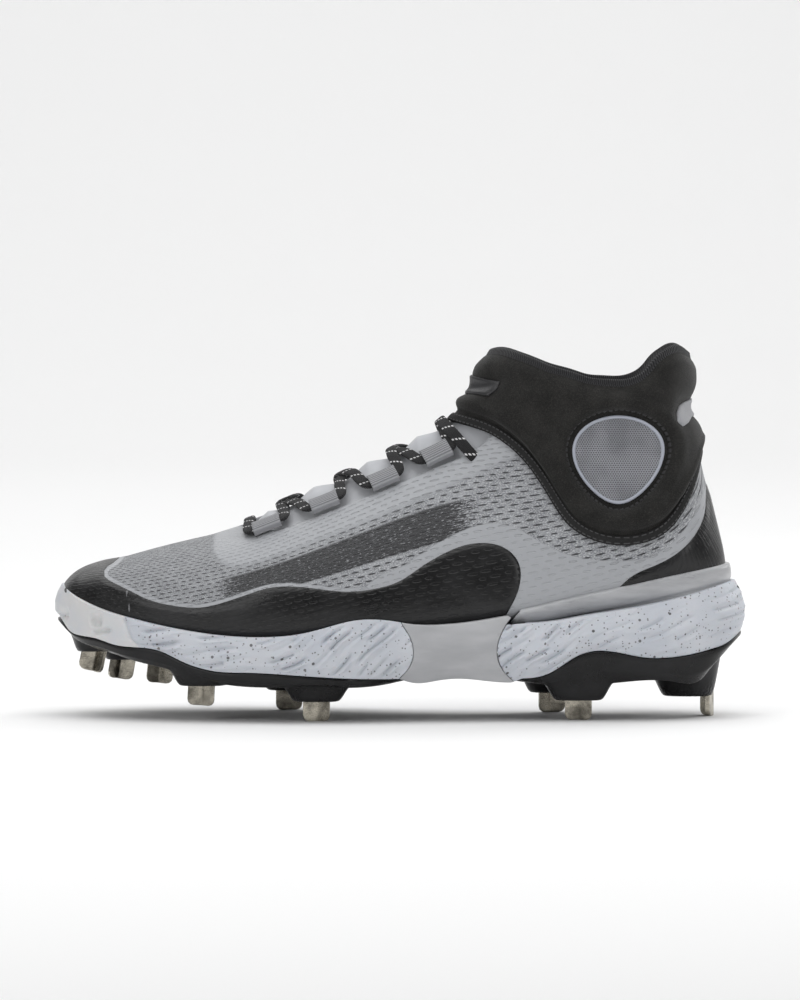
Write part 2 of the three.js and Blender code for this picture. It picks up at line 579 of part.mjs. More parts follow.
// Sole: the plate first, then the foam round it, whose three pieces and rail part where the side view shows joints
const PLATE_ROWS = [
  // height, inset at forefoot, arch, heel
  [0, 8, 27, 8],
  [0.35, 3, 25, 3.5],
  [0.8, 1.2, 24, 1.6],
  [1, 1.4, 24, 1.6],
];
const plateBlock = (grow) =>
  soleBlock(
    raised(plateFoot, -grow),
    raised(plateTop, -CLEARANCE + grow),
    PLATE_ROWS.map(([height, ...insets]) => [height, ...insets.map((inset) => inset - grow)]),
  );
const FOAM_ROWS = [
  [0, 1, 5, 2],
  [0.2, 0, 2, 0.3],
  [0.5, 0, 0, 0],
  [0.75, 0.5, 0.4, 1.6],
  [1, 1.4, 1.5, 4.4],
];
const mix = (a, b, t) => a + (b - a) * t;
const foamFoot = (x) => mix(plateTop(x), archFoot(x), smooth(atX(0.49), atX(0.515), x) * (1 - smooth(atX(0.66), atX(0.68), x)));
const foamTop = (x) => mix(bumperTop(x), railFoot(x), smooth(atX(0.655), atX(0.672), x));
const foamOutside = (grow) =>
  soleBlock(
    raised(foamFoot, -grow),
    raised(foamTop, grow),
    FOAM_ROWS.map(([height, ...insets]) => [height, ...insets.map((inset) => inset - grow)]),
  );
// The plate's bed in the foam is cut a little deeper than the plate, so that no skin of foam is left under it.
const PLATE_BED = 0.2;
const plateBed = plateBlock(CLEARANCE).add(plateBlock(CLEARANCE).translate([0, 0, PLATE_BED]));
const foamBlock = foamOutside(0).subtract(clearForm).subtract(plateBed);
const foamRoom = foamOutside(CLEARANCE);
const foreCut = (grow) => sidePrism([
  [atX(-0.1), atZ(-0.1)], ...curveThrough([...foreEnd].reverse()).map(([x, z]) => [x + grow, z]),
  [atX(0.5) + grow, HEIGHT], [atX(-0.1), HEIGHT],
]);
const heelCut = (grow) => sidePrism([
  [atX(1.1), atZ(-0.1)], [atX(1.1), HEIGHT], [atX(0.68) - grow, HEIGHT],
  ...curveThrough(heelStart).map(([x, z]) => [x - grow, z]),
]);
addPart("foam_forefoot", foamBlock.intersect(foreCut(0)), FINISH.foam);
addPart("foam_arch", foamBlock.subtract(foreCut(CLEARANCE)).subtract(heelCut(CLEARANCE)), FINISH.shank);
addPart("foam_heel", foamBlock.intersect(heelCut(0)).intersect(below(railFoot)), FINISH.foam);

// Heel rail: a moulded band from the foam's top edge up to the counter
const railReach = (p) => mix(RAIL_BEAD, RAIL_LIP, smooth(railFoot(p.x), railTop(p.x), p.z));
addPart(
  "heel_rail",
  formSolid(railReach)
    .subtract(clearForm)
    .intersect(band(raised(railFoot, CLEARANCE), railTop, atX(0.63)))
    .intersect(heelCut(0)),
  FINISH.rail,
);

// The blades under the toe lean forward. Lengths are in mm, angles in degrees.
const STUDS = [
  // x, y, tip's height, turn, lean, pod's length, pod's width, pod ahead of its blade
  [0.058, -0.03, 19.5, 62, 12, 17, 15, 0],
  [0.097, 0.19, 14.5, 118, 10, 17, 15, 0],
  [0.15, 0.36, 11.5, 100, 6, 19, 15, 0],
  [0.216, -0.3, 6.5, 80, 3, 22, 17, 0],
  [0.338, 0.34, 0, 96, 0, 22, 17, 0],
  [0.381, -0.345, 0, 84, 0, 23, 18, 0],
  [0.722, 0.2, 0, 100, 0, 23, 18, 0],
  [0.757, -0.26, 0, 84, 0, 24, 18, 0],
  [0.942, 0, 0, 8, 0, 25, 21, 7.5],
];
const STUD_CORNER = 2.6;
// A bent blade with round lower corners. Its width runs along y before it is turned.
function studSolid([x, y, tip, turn, lean], grow) {
  const half = STUD_WIDTH / 2 + grow;
  const thick = STUD_THICKNESS / 2 + grow;
  const top = STUD_EXPOSED + STUD_ROOT + grow;
  const chevron = [[-thick, -half], [thick, -half], [thick + STUD_BEND, 0], [thick, half], [-thick, half],
    [-thick + STUD_BEND, 0]];
  const corner = [0, 0.35, 0.7, 1].map((t) => (t * Math.PI) / 2);
  const face = [
    [half, top],
    ...corner.map((a) => [half - STUD_CORNER + STUD_CORNER * Math.cos(a), STUD_CORNER - grow - STUD_CORNER * Math.sin(a)]),
    ...corner.map((a) => [-half + STUD_CORNER - STUD_CORNER * Math.sin(a), STUD_CORNER - grow - STUD_CORNER * Math.cos(a)]),
    [-half, top],
  ];
  const blade = planPrism(chevron, -grow, top).intersect(sidePrism(face).rotate([0, 0, 90]));
  return blade
    .rotate([0, 0, turn])
    .translate([0, 0, -STUD_EXPOSED])
    .rotate([0, lean, 0])
    .translate([atX(x), atY(y), tip + STUD_EXPOSED]);
}
// A pod round each blade: [share of the way up to the plate, size]. Its top follows the plate's foot.
const POD_ROWS = [[0, 0.7], [0.12, 0.84], [0.5, 0.97], [1, 1.12]];
function podSolid([x, y, tip, turn, lean, length, width, ahead]) {
  const low = tip + STUD_EXPOSED;
  const square = (v) => Math.sign(v) * Math.abs(v) ** 0.75;
  const rings = POD_ROWS.map(([up, size]) =>
    Array.from({ length: POD_FACETS }, (none, i) => {
      const angle = (2 * Math.PI * i) / POD_FACETS;
      const px = atX(x) - ahead + (length / 2) * size * square(Math.cos(angle));
      const py = atY(y) + (width / 2) * size * square(Math.sin(angle));
      return new THREE.Vector3(px, py, mix(low, plateFoot(px) + POD_ROOT, up));
    }),
  );
  return skin([[centreOf(rings[0])], ...rings, [centreOf(rings[rings.length - 1])]]);
}
const underFoam = below(raised(foamFoot, -2 * CLEARANCE));
let plate = plateBlock(0);
for (const stud of STUDS) plate = plate.add(podSolid(stud).intersect(underFoam));
for (const stud of STUDS) plate = plate.subtract(studSolid(stud, CLEARANCE));
addPart("plate", plate, FINISH.plate);
STUDS.forEach((stud, i) => addPart(`spike_${i + 1}`, studSolid(stud, 0), FINISH.steel));

// Films fused over the knit: toe guard and heel counter
const filmForm = formSolid(CLEARANCE + GUARD_FILM);
const film = filmForm.subtract(clearForm);
addPart(
  "toe_guard",
  film
    .intersect(sidePrism([...curveThrough(GUARD_EDGE, 1), [atX(0.6), 0], [atX(-0.1), 0], [atX(-0.1), atZ(0.55)]]))
    .intersect(above(raised(bumperTop, CLEARANCE)))
    .subtract(foamRoom),
  FINISH.film,
);
addPart(
  "heel_counter",
  film
    .intersect(sidePrism([...curveThrough(COUNTER_EDGE, 1), [atX(1.1), atZ(0.6)], [atX(1.1), 0], [atX(0.77), 0]]))
    .intersect(above(raised(railTop, CLEARANCE))),
  FINISH.film,
);

// Collar: a padded cuff, cut at the same seam as the upper, with a window on each side
const collar = formSolid(overCollar(0))
  .subtract(formSolid(insideCollar))
  .intersect(above(raised(collarSeam, CLEARANCE)))
  .intersect(below(topLine));
addPart("collar", collar.subtract(sidePrism(windowOutline(CLEARANCE))), FINISH.cuff);
const panel = formSolid(overCollar(-0.3))
  .subtract(formSolid(overCollar(-0.3 - WINDOW_PANEL)))
  .intersect(sidePrism(windowOutline()));
const rim = formSolid(overCollar(WINDOW_RIM))
  .subtract(formSolid(overCollar(-0.3 - WINDOW_PANEL)))
  .intersect(sidePrism(windowOutline()).subtract(sidePrism(windowOutline(-WINDOW_RIM_WIDTH))));
const ankleWindow = panel.add(rim);
const halfSpace = (side) => planPrism(
  [[-FAR, 0], [FAR, 0], [FAR, side * FAR], [-FAR, side * FAR]], 0, 2 * HEIGHT,
);
addPart("window_outer", ankleWindow.intersect(halfSpace(-1)), FINISH.mesh);
addPart("window_inner", ankleWindow.intersect(halfSpace(1)), FINISH.mesh);
const patchSkin = formSolid(overCollar(CLEARANCE + PATCH_THICKNESS)).subtract(formSolid(overCollar(CLEARANCE)));
addPart("patch_front", patchSkin.intersect(sidePrism(PATCH.map(([x, z]) => [atX(x), atZ(z)]))), FINISH.film);
addPart("strap_rear", patchSkin.intersect(sidePrism(STRAP.map(([x, z]) => [atX(x), atZ(z)]))), FINISH.webbing);

// Tongue: a padded sheet under the throat that swells between two crossings of the lace
const CROSSINGS = [0.284, 0.339, 0.42, 0.4935, 0.5645];
function tongueLift(p) {
  const across = (p.y - throatMiddle(p.x)) / Math.max(openHalf(p.x), 1);
  const fromFront = smooth(atX(THROAT_FRONT), atX(THROAT_FRONT) + TONGUE_DIP, p.x);
  const inThroat = fromFront * Math.max(0, 1 - across * across) ** 2;
  const near = CROSSINGS.map((x) => Math.exp(-(((p.x - atX(x)) / TONGUE_DIP) ** 2)));
  const crown = TONGUE_CROWN - (TONGUE_CROWN + TONGUE_SINK) * Math.max(...near);
  return (crown + UPPER_WALL) * inThroat;
}
const wallZone = clearForm
  .subtract(formSolid(-UPPER_WALL - CLEARANCE))
  .subtract(planPrism(throatOutline(-CLEARANCE), atZ(0.4), 2 * HEIGHT));
const tongueTop = (p) => tongueLift(p) - UPPER_WALL - CLEARANCE;
const tongueUnder = (p) => tongueTop(p) - TONGUE_THICKNESS;
// Webbing loops along the throat, [x, z] as the side view shows them, and the lace that crosses between them
const LOOPS = [[0.312, 0.513], [0.3945, 0.574], [0.479, 0.639], [0.555, 0.708]];
const EYELET = [0.609, 0.706];
const loopPlaces = LOOPS.map(([x, z]) => findOnForm(atX(x), atZ(z), -1, ...INSTEP_FANS));
const eyeletPlace = findOnForm(atX(EYELET[0]), atZ(EYELET[1]), -1, ...ANKLE_FANS);
const LOOP_SEAT = 0.5; // webbing over the upper's form
const LOOP_FOLD = 1.4; // the chamfer of a loop's fold
const LACE_LAP = 0.05; // two straps' lap inside a loop, as a share of half its length
const LACE_ROOM = 0.5; // round the lace inside a loop
const LACE_SEAT = LOOP_SEAT + LOOP_WEBBING + CLEARANCE + LACE_THICKNESS / 2;
const onSide = ({ fan, across }, side) => ({ fan, across: -side * across });
// The directions along the throat, across it and out of the form at a loop
function loopAxes(k, side) {
  const { fan, across } = onSide(loopPlaces[k], side);
  const [back, ahead] = [loopPlaces[Math.max(k - 1, 0)], loopPlaces[Math.min(k + 1, 3)]].map((place) =>
    formPoint(place.fan, onSide(place, side).across),
  );
  const out = formNormal(fan, across);
  const along = ahead.sub(back).addScaledVector(out, -ahead.dot(out)).normalize();
  return { centre: formPoint(fan, across), along, across: new THREE.Vector3().crossVectors(out, along), out };
}
function loopSolid(k, side) {
  const { centre, along, across, out } = loopAxes(k, side);
  const place = new THREE.Matrix4().makeBasis(across, out, along).setPosition(centre);
  const [left, right, low] = [-LOOP_WIDTH / 2, LOOP_WIDTH / 2, LOOP_SEAT];
  const top = low + LACE_THICKNESS + 2 * (CLEARANCE + LOOP_WEBBING);
  const outline = new THREE.Shape(
    [
      [left + LOOP_FOLD, low], [right - LOOP_FOLD, low], [right, low + LOOP_FOLD], [right, top - LOOP_FOLD],
      [right - LOOP_FOLD, top], [left + LOOP_FOLD, top], [left, top - LOOP_FOLD], [left, low + LOOP_FOLD],
    ].map(([x, y]) => new THREE.Vector2(x, y)),
  );
  const geometry = new THREE.ExtrudeGeometry(outline, { depth: LOOP_LENGTH, bevelEnabled: false });
  geometry.translate(0, 0, -LOOP_LENGTH / 2);
  return manifoldOf(geometry.applyMatrix4(place));
}

// A flat strap through stops, each a point with the form's normal there
const STRAP_STEPS = 7;
const LACE_OVAL = [[-1, 0], [-0.7, 0.9], [0.7, 0.9], [1, 0], [0.7, -0.9], [-0.7, -0.9]];
function strapSolid(stops, grow) {
  const path = new THREE.CatmullRomCurve3(stops.map(({ point }) => point), false, "centripetal");
  const lean = new THREE.CatmullRomCurve3(stops.map(({ out }) => out), false, "centripetal");
  const rings = Array.from({ length: STRAP_STEPS + 1 }, (none, i) => {
    const t = i / STRAP_STEPS;
    const wide = new THREE.Vector3().crossVectors(path.getTangent(t), lean.getPoint(t)).normalize();
    const high = new THREE.Vector3().crossVectors(wide, path.getTangent(t));
    return LACE_OVAL.map(([w, h]) =>
      path.getPoint(t)
        .addScaledVector(wide, w * (LACE_WIDTH / 2 + grow))
        .addScaledVector(high, h * (LACE_THICKNESS / 2 + grow)),
    );
  });
  return skin([[centreOf(rings[0])], ...rings, [centreOf(rings[STRAP_STEPS])]]);
}
const crestFan = (x) => {
  let fan = 4;
  while (formPoint(fan, 0).x < x) fan += 0.02;
  return fan;
};
const CROSS_LOW = 2; // middle of the lace that lies below at a crossing, over the form
const CROSS_HIGH = CROSS_LOW + LACE_THICKNESS * 0.85;
const onForm = (fan, across, rise) => ({ point: formOffset(fan, across, rise), out: formNormal(fan, across) });
// Inside a loop: at its middle, shift 0, or just past its front end, -1, or its rear end, 1
function inLoop(k, side, shift) {
  const { centre, along, out } = loopAxes(k, side);
  const point = centre.addScaledVector(out, LACE_SEAT).addScaledVector(along, shift * (LOOP_LENGTH / 2 + 0.5));
  return { point, out };
}
// Half way between a loop and the crest, clear of the tongue's swell
function half(k, side, fan, rise) {
  const place = onSide(loopPlaces[k], side);
  return onForm(mix(place.fan, fan, 0.6), place.across * 0.52, rise);
}
const barFan = crestFan(atX(CROSSINGS[0]));
const BAR_STOPS = [-1, 1].map((side) => [inLoop(0, side, LACE_LAP), inLoop(0, side, -1.2), half(0, side, barFan, CROSS_LOW)]);
const straps = [[...BAR_STOPS[0], onForm(barFan, 0, CROSS_LOW), ...BAR_STOPS[1].reverse()]];
for (let k = 0; k < LOOPS.length; k++)
  for (const side of [-1, 1]) {
    const fan = crestFan(atX(CROSSINGS[k + 1]));
    const rise = (k % 2 ? side : -side) > 0 ? CROSS_HIGH : CROSS_LOW;
    const eyelet = onSide(eyeletPlace, -side);
    const end = k < LOOPS.length - 1
      ? [half(k + 1, -side, fan, rise), inLoop(k + 1, -side, -1), inLoop(k + 1, -side, LACE_LAP)]
      : [onForm(mix(fan, eyelet.fan, 0.5), eyelet.across / 2, rise), onForm(eyelet.fan, eyelet.across, LACE_THICKNESS / 2 + CLEARANCE)];
    straps.push([inLoop(k, side, -LACE_LAP), inLoop(k, side, 1), half(k, side, fan, rise), onForm(fan, 0, rise), ...end]);
  }
const laceSolid = (grow) => straps.map((stops) => strapSolid(stops, grow)).reduce((all, strap) => all.add(strap));
const laces = laceSolid(0);
addPart("laces", laces, FINISH.lace);
const laceRoom = laceSolid(LACE_ROOM).add(laces);
for (const [side, name] of [[-1, "outer"], [1, "inner"]])
  LOOPS.forEach((row, k) => addPart(`loop_${name}_${k + 1}`, loopSolid(k, side).subtract(laceRoom), FINISH.webbing));
addPart(
  "tongue",
  formSolid(tongueTop)
    .subtract(formSolid(tongueUnder))
    .intersect(planPrism(tongueOutline(), atZ(0.4), 2 * HEIGHT))
    .subtract(wallZone)
    .subtract(laceRoom)
    .intersect(below(raised(collarSeam, -CLEARANCE))),
  FINISH.knit,
);

// The origin goes under the middle of the whole shoe, on the floor.
const whole = new THREE.Box3().setFromObject(shoe);
const middle = whole.getCenter(new THREE.Vector3());
for (const mesh of shoe.children) mesh.geometry.translate(-middle.x, -middle.y, -whole.min.z);

export default shoe;
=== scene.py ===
"""A left baseball cleat: grey knit upper, black films and cuff, pale foam and a plate with metal blades."""
import math

import bmesh
import bpy
import numpy as np
from mathutils import Matrix, Vector


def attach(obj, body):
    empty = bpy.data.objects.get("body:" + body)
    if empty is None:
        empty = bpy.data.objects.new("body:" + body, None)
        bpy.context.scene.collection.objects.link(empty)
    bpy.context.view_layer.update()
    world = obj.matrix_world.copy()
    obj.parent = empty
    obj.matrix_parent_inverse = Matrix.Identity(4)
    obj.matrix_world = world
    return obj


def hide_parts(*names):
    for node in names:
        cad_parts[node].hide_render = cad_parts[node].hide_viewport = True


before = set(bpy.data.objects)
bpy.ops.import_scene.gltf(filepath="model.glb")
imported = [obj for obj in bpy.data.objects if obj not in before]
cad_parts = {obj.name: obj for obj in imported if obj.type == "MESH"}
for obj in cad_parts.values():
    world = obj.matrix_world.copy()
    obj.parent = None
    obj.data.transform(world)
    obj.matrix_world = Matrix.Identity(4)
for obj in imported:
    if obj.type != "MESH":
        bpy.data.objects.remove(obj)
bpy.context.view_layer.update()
MM = 0.001

# Studio: a pale seamless sweep, a large soft light over the shoe, one from each side, one behind the heel and
# one on the sweep. The camera looks along +Y from 2.4 degrees above the floor with a long lens, as in the
# photograph.
FRAME_MM = 434.2  # what the picture's height spans at the shoe
AIM = Vector((0.0002, 0.0, 0.0938))
DISTANCE = 3.2
RISE = math.radians(2.4)
camera = bpy.data.objects.new("camera", bpy.data.cameras.new("camera"))
camera.data.lens = 36 * DISTANCE / (FRAME_MM * MM)
camera.data.clip_end = 50
camera.location = AIM + DISTANCE * Vector((0, -math.cos(RISE), math.sin(RISE)))
camera.rotation_euler = (math.radians(90) - RISE, 0, 0)
bpy.context.scene.collection.objects.link(camera)
bpy.context.scene.camera = camera
bpy.context.scene.view_settings.view_transform = "Standard"


def plain_material(name, color, roughness):
    material = bpy.data.materials.new(name)
    material.use_nodes = True
    shader = material.node_tree.nodes["Principled BSDF"]
    shader.inputs["Base Color"].default_value = (*color, 1)
    shader.inputs["Roughness"].default_value = roughness
    return material


def add_object(name, bm, *materials):
    mesh = bpy.data.meshes.new(name)
    bm.to_mesh(mesh)
    bm.free()
    for material in materials:
        mesh.materials.append(material)
    made = bpy.data.objects.new(name, mesh)
    bpy.context.scene.collection.objects.link(made)
    return made


SWEEP_LENGTH, SWEEP_FRONT, SWEEP_FLAT, SWEEP_ROUND = 10.0, 4.5, 2.9, 0.8
sweep = bmesh.new()
bmesh.ops.create_grid(sweep, x_segments=1, y_segments=80, size=1)
for v in sweep.verts:
    along = (v.co.y + 1) / 2 * SWEEP_LENGTH - SWEEP_FRONT
    bend = min(max(along - SWEEP_FLAT, 0), SWEEP_ROUND * math.pi / 2) / SWEEP_ROUND
    rise = max(along - SWEEP_FLAT - SWEEP_ROUND * math.pi / 2, 0)
    v.co = (
        v.co.x * 5,
        min(along, SWEEP_FLAT) + SWEEP_ROUND * math.sin(bend),
        SWEEP_ROUND * (1 - math.cos(bend)) + rise,
    )
floor = add_object("studio_sweep", sweep, plain_material("studio sweep", (0.9, 0.9, 0.9), 0.9))
for polygon in floor.data.polygons:
    polygon.use_smooth = True


def soft_light(name, place, target, size, power):
    light = bpy.data.lights.new(name, "AREA")
    light.shape = "RECTANGLE"
    light.size, light.size_y = size
    light.energy = power
    lamp = bpy.data.objects.new(name, light)
    lamp.location = place
    lamp.rotation_euler = (Vector(target) - Vector(place)).to_track_quat("-Z", "Y").to_euler()
    bpy.context.scene.collection.objects.link(lamp)


soft_light("overhead", (0, -0.25, 1.5), (0, -0.1, 0), (1.8, 1.7), 20)
soft_light("front_left", (-1.3, -1.7, 1.0), (0, 0, 0.08), (0.9, 1.2), 11)
soft_light("front_right", (1.5, -1.5, 0.8), (0, 0, 0.08), (0.8, 1.2), 7)
soft_light("heel_rim", (1.2, 0.9, 0.8), (0, 0, 0.08), (0.6, 0.9), 6)
soft_light("backdrop", (0, 2.2, 2.0), (0, 2.4, 0), (4.0, 2.4), 48)
world = bpy.data.worlds.new("studio air")
world.use_nodes = True
world.node_tree.nodes["Background"].inputs["Color"].default_value = (1, 1, 1, 1)
world.node_tree.nodes["Background"].inputs["Strength"].default_value = 0.18
bpy.context.scene.world = world

# Last: the shoe is drawn over one foot form, a fan of sections from the toe to the ankle.
# Each piece of cloth, film or padding lies on it at its own height, as the real ones are pulled over a last.
LENGTH = 300.0
HEIGHT = 160.0
BALL_WIDTH = 106.0
SHIFT_Y = 0.794  # from the heel's middle line to the middle of the shoe's box
FANS = np.array([
    # keel x, keel z, crest x, crest z, outer, inner, keel y, crest y, belly, crown, base
    [0.01, 0.325, 0.01, 0.325, 0, 0, 0.075, 0.075, 0.42, 2.1, 2.2],
    [0.019, 0.3, 0.0175, 0.362, 0.15, 0.142, 0.073, 0.076, 0.4, 2.15, 2.4],
    [0.046, 0.277, 0.044, 0.4, 0.252, 0.238, 0.062, 0.08, 0.34, 2.2, 3],
    [0.093, 0.251, 0.093, 0.427, 0.33, 0.326, 0.057, 0.085, 0.3, 2.25, 3.5],
    [0.153, 0.229, 0.153, 0.458, 0.392, 0.384, 0.043, 0.085, 0.28, 2.2, 4],
    [0.22, 0.213, 0.222, 0.49, 0.435, 0.423, 0.028, 0.08, 0.26, 2.1, 4.2],
    [0.293, 0.204, 0.29, 0.529, 0.463, 0.445, 0.009, 0.066, 0.25, 2, 4.2],
    [0.373, 0.204, 0.36, 0.588, 0.462, 0.425, -0.009, 0.047, 0.24, 1.95, 4.2],
    [0.46, 0.213, 0.427, 0.648, 0.432, 0.382, -0.028, 0.033, 0.22, 1.9, 4.2],
    [0.553, 0.231, 0.487, 0.704, 0.382, 0.33, -0.038, 0.019, 0.2, 1.85, 4],
    [0.66, 0.259, 0.533, 0.75, 0.341, 0.293, -0.033, 0.009, 0.2, 1.85, 4],
    [0.773, 0.291, 0.563, 0.787, 0.312, 0.283, -0.019, 0.005, 0.22, 1.85, 3.6],
    [0.873, 0.309, 0.585, 0.828, 0.307, 0.292, -0.009, 0, 0.25, 1.9, 3.2],
    [0.943, 0.328, 0.595, 0.864, 0.311, 0.298, 0, 0, 0.3, 1.95, 2.6],
    [0.9695, 0.388, 0.604, 0.891, 0.311, 0.305, 0, 0, 0.35, 2, 2.3],
    [0.9625, 0.488, 0.613, 0.918, 0.311, 0.307, 0, 0, 0.38, 2.05, 2.2],
    [0.9495, 0.588, 0.621, 0.946, 0.307, 0.307, 0, 0, 0.4, 2.1, 2.2],
    [0.937, 0.688, 0.628, 0.975, 0.307, 0.307, 0, 0, 0.42, 2.1, 2.2],
    [0.925, 0.8, 0.634, 1.006, 0.311, 0.311, 0, 0, 0.44, 2.15, 2.2],
    [0.918, 0.913, 0.637, 1.044, 0.321, 0.321, 0, 0, 0.45, 2.2, 2.2],
    [0.92, 1.04, 0.638, 1.1, 0.33, 0.33, 0, 0, 0.45, 2.2, 2.2],
])
LAST_FAN = len(FANS) - 1


def at_x(share):
    return (np.asarray(share, float) - 0.5) * LENGTH


def at_z(share):
    return np.asarray(share, float) * HEIGHT


def spline(knots, values, flat_start=False):
    """A natural cubic spline through the values; flat_start makes it leave its first knot level."""
    knots, values = np.asarray(knots, float), np.asarray(values, float)
    n = len(knots)
    step = np.diff(knots)
    slope = np.diff(values) / step
    system, right = np.eye(n), np.zeros(n)
    for i in range(1, n - 1):
        system[i, i - 1:i + 2] = step[i - 1], 2 * (step[i - 1] + step[i]), step[i]
        right[i] = 6 * (slope[i] - slope[i - 1])
    if flat_start:
        system[0, :2] = 2 * step[0], step[0]
        right[0] = 6 * slope[0]
    bend = np.linalg.solve(system, right)

    def value(at):
        t = np.clip(np.asarray(at, float), knots[0], knots[-1])
        i = np.clip(np.searchsorted(knots, t) - 1, 0, n - 2)
        h = step[i]
        a, b = (knots[i + 1] - t) / h, (t - knots[i]) / h
        curved = (a**3 - a) * bend[i] + (b**3 - b) * bend[i + 1]
        return a * values[i] + b * values[i + 1] + curved * h * h / 6

    return value


def side_line(rows):
    x, z = np.array(rows, float).T
    return spline(at_x(x), at_z(z))


def smooth(low, high, value):
    t = np.clip((np.asarray(value, float) - low) / (high - low), 0, 1)
    return t * t * (3 - 2 * t)


def mix(a, b, t):
    return a + (b - a) * t


def run_along(line):
    """How far along a line each of its points lies."""
    return np.concatenate([[0], np.cumsum(np.linalg.norm(np.diff(line, axis=0), axis=1))])


def side_points(rows):
    """Shares of length and height as points of the side view, in millimetres."""
    x, z = np.array(rows, float).T
    return np.stack([at_x(x), at_z(z)], axis=1)


class Surface:
    """A surface known by a fine table of its points, read at any (along, across)."""

    def __init__(self, along, across, points, round=True):
        self.along, self.across, self.points, self.round = along, across, points, round
        by_along = np.gradient(points, axis=0)
        by_across = np.gradient(points, axis=1)
        if round:
            by_across[:, 0] = by_across[:, -1] = (points[:, 1] - points[:, -2]) / 2
        normals = np.cross(by_along, by_across)
        size = np.linalg.norm(normals, axis=2, keepdims=True)
        self.normals = np.where(size > 1e-7, normals / np.maximum(size, 1e-9), [-1, 0, 0])

    def read(self, table, along, across):
        if self.round:
            across = np.where(np.abs(across) > 1, (np.asarray(across) + 1) % 2 - 1, across)
        i = np.interp(along, self.along, np.arange(len(self.along)))
        j = np.interp(across, self.across, np.arange(len(self.across)))
        i0 = np.clip(i.astype(int), 0, len(self.along) - 2)
        j0 = np.clip(j.astype(int), 0, len(self.across) - 2)
        a, b = (i - i0)[..., None], (j - j0)[..., None]
        low = mix(table[i0, j0], table[i0, j0 + 1], b)
        high = mix(table[i0 + 1, j0], table[i0 + 1, j0 + 1], b)
        return mix(low, high, a)

    def base(self, along, across):
        return self.read(self.points, along, across)

    def normal(self, along, across):
        n = self.read(self.normals, along, across)
        return n / np.maximum(np.linalg.norm(n, axis=-1, keepdims=True), 1e-9)

    def place(self, along, across, rise):
        rise = np.broadcast_to(np.asarray(rise, float), np.shape(along))
        return self.base(along, across) + self.normal(along, across) * rise[..., None]


def half_section(row, side):
    keel_x, keel_z, crest_x, crest_z, outer, inner, keel_y, crest_y, belly, crown, base = row
    width = (outer if side < 0 else inner) * BALL_WIDTH
    angle = np.linspace(0, math.pi, 241)
    above = np.cos(angle) >= 0
    power = np.where(above, 2 / crown, 2 / base)
    reach = np.abs(np.cos(angle)) ** power
    up = np.where(above, belly + (1 - belly) * reach, belly * (1 - reach))
    middle = keel_y * BALL_WIDTH + np.where(above, (crest_y - keel_y) * BALL_WIDTH * reach**2, 0)
    return np.stack([
        at_x(keel_x + (crest_x - keel_x) * up),
        middle + side * width * np.abs(np.sin(angle)) ** power + SHIFT_Y,
        at_z(keel_z + (crest_z - keel_z) * up),
    ], axis=1)


FINE_FANS = np.linspace(0, LAST_FAN, 801)
ACROSS = np.linspace(-1, 1, 481)
fan_rows = np.stack([
    spline(range(LAST_FAN + 1), FANS[:, c], flat_start=c in (0, 2))(FINE_FANS) for c in range(FANS.shape[1])
], axis=1)
last_points = np.zeros((len(FINE_FANS), len(ACROSS), 3))
for i, row in enumerate(fan_rows):
    for side in (-1, 1):
        line = half_section(row, side)
        length = run_along(line)
        here = ACROSS * side >= 0
        want = np.abs(ACROSS[here]) * length[-1]
        last_points[i, here] = np.stack([np.interp(want, length, line[:, c]) for c in range(3)], axis=1)
last = Surface(FINE_FANS, ACROSS, last_points)


def nearest_on_last(x, z, side, fans=(2, LAST_FAN)):
    """The (fan, across) that shows at each x, z from that side."""
    keep_f = np.where((FINE_FANS >= fans[0]) & (FINE_FANS <= fans[1]))[0]
    keep_a = np.where(ACROSS * side >= 0)[0]
    part = last_points[np.ix_(keep_f, keep_a)]
    found = []
    for px, pz in zip(np.atleast_1d(x), np.atleast_1d(z)):
        miss = (part[..., 0] - px) ** 2 + (part[..., 2] - pz) ** 2
        f, a = np.unravel_index(np.argmin(miss), miss.shape)
        found.append((FINE_FANS[keep_f[f]], ACROSS[keep_a[a]]))
    return np.array(found)


def distance_to(line, x, z):
    """Distance in the side view from each x, z to a polyline."""
    best = np.full(np.shape(x), 1e9)
    for (ax, az), (bx, bz) in zip(line[:-1], line[1:]):
        dx, dz = bx - ax, bz - az
        t = np.clip(((x - ax) * dx + (z - az) * dz) / max(dx * dx + dz * dz, 1e-9), 0, 1)
        best = np.minimum(best, (x - ax - t * dx) ** 2 + (z - az - t * dz) ** 2)
    return np.sqrt(best)


def inside_of(outline, x, z):
    """True where x, z lies within the closed outline."""
    count = np.zeros(np.shape(x), int)
    for (ax, az), (bx, bz) in zip(outline, np.roll(outline, -1, axis=0)):
        if az == bz:
            continue
        crosses = (z < max(az, bz)) & (z >= min(az, bz))
        count += crosses & (x < ax + (z - az) * (bx - ax) / (bz - az))
    return count % 2 == 1


def signed(outline, x, z):
    """Distance to a closed outline, negative within it."""
    d = distance_to(np.vstack([outline, outline[:1]]), x, z)
    return np.where(inside_of(outline, x, z), -d, d)


def rounded(rows, steps=8):
    """A smooth curve through shares of length and height, in millimetres."""
    rows = np.array(rows, float)
    t = run_along(rows * [LENGTH, HEIGHT])
    at = np.linspace(0, t[-1], len(rows) * steps)
    return np.stack([at_x(spline(t, rows[:, 0])(at)), at_z(spline(t, rows[:, 1])(at))], axis=1)


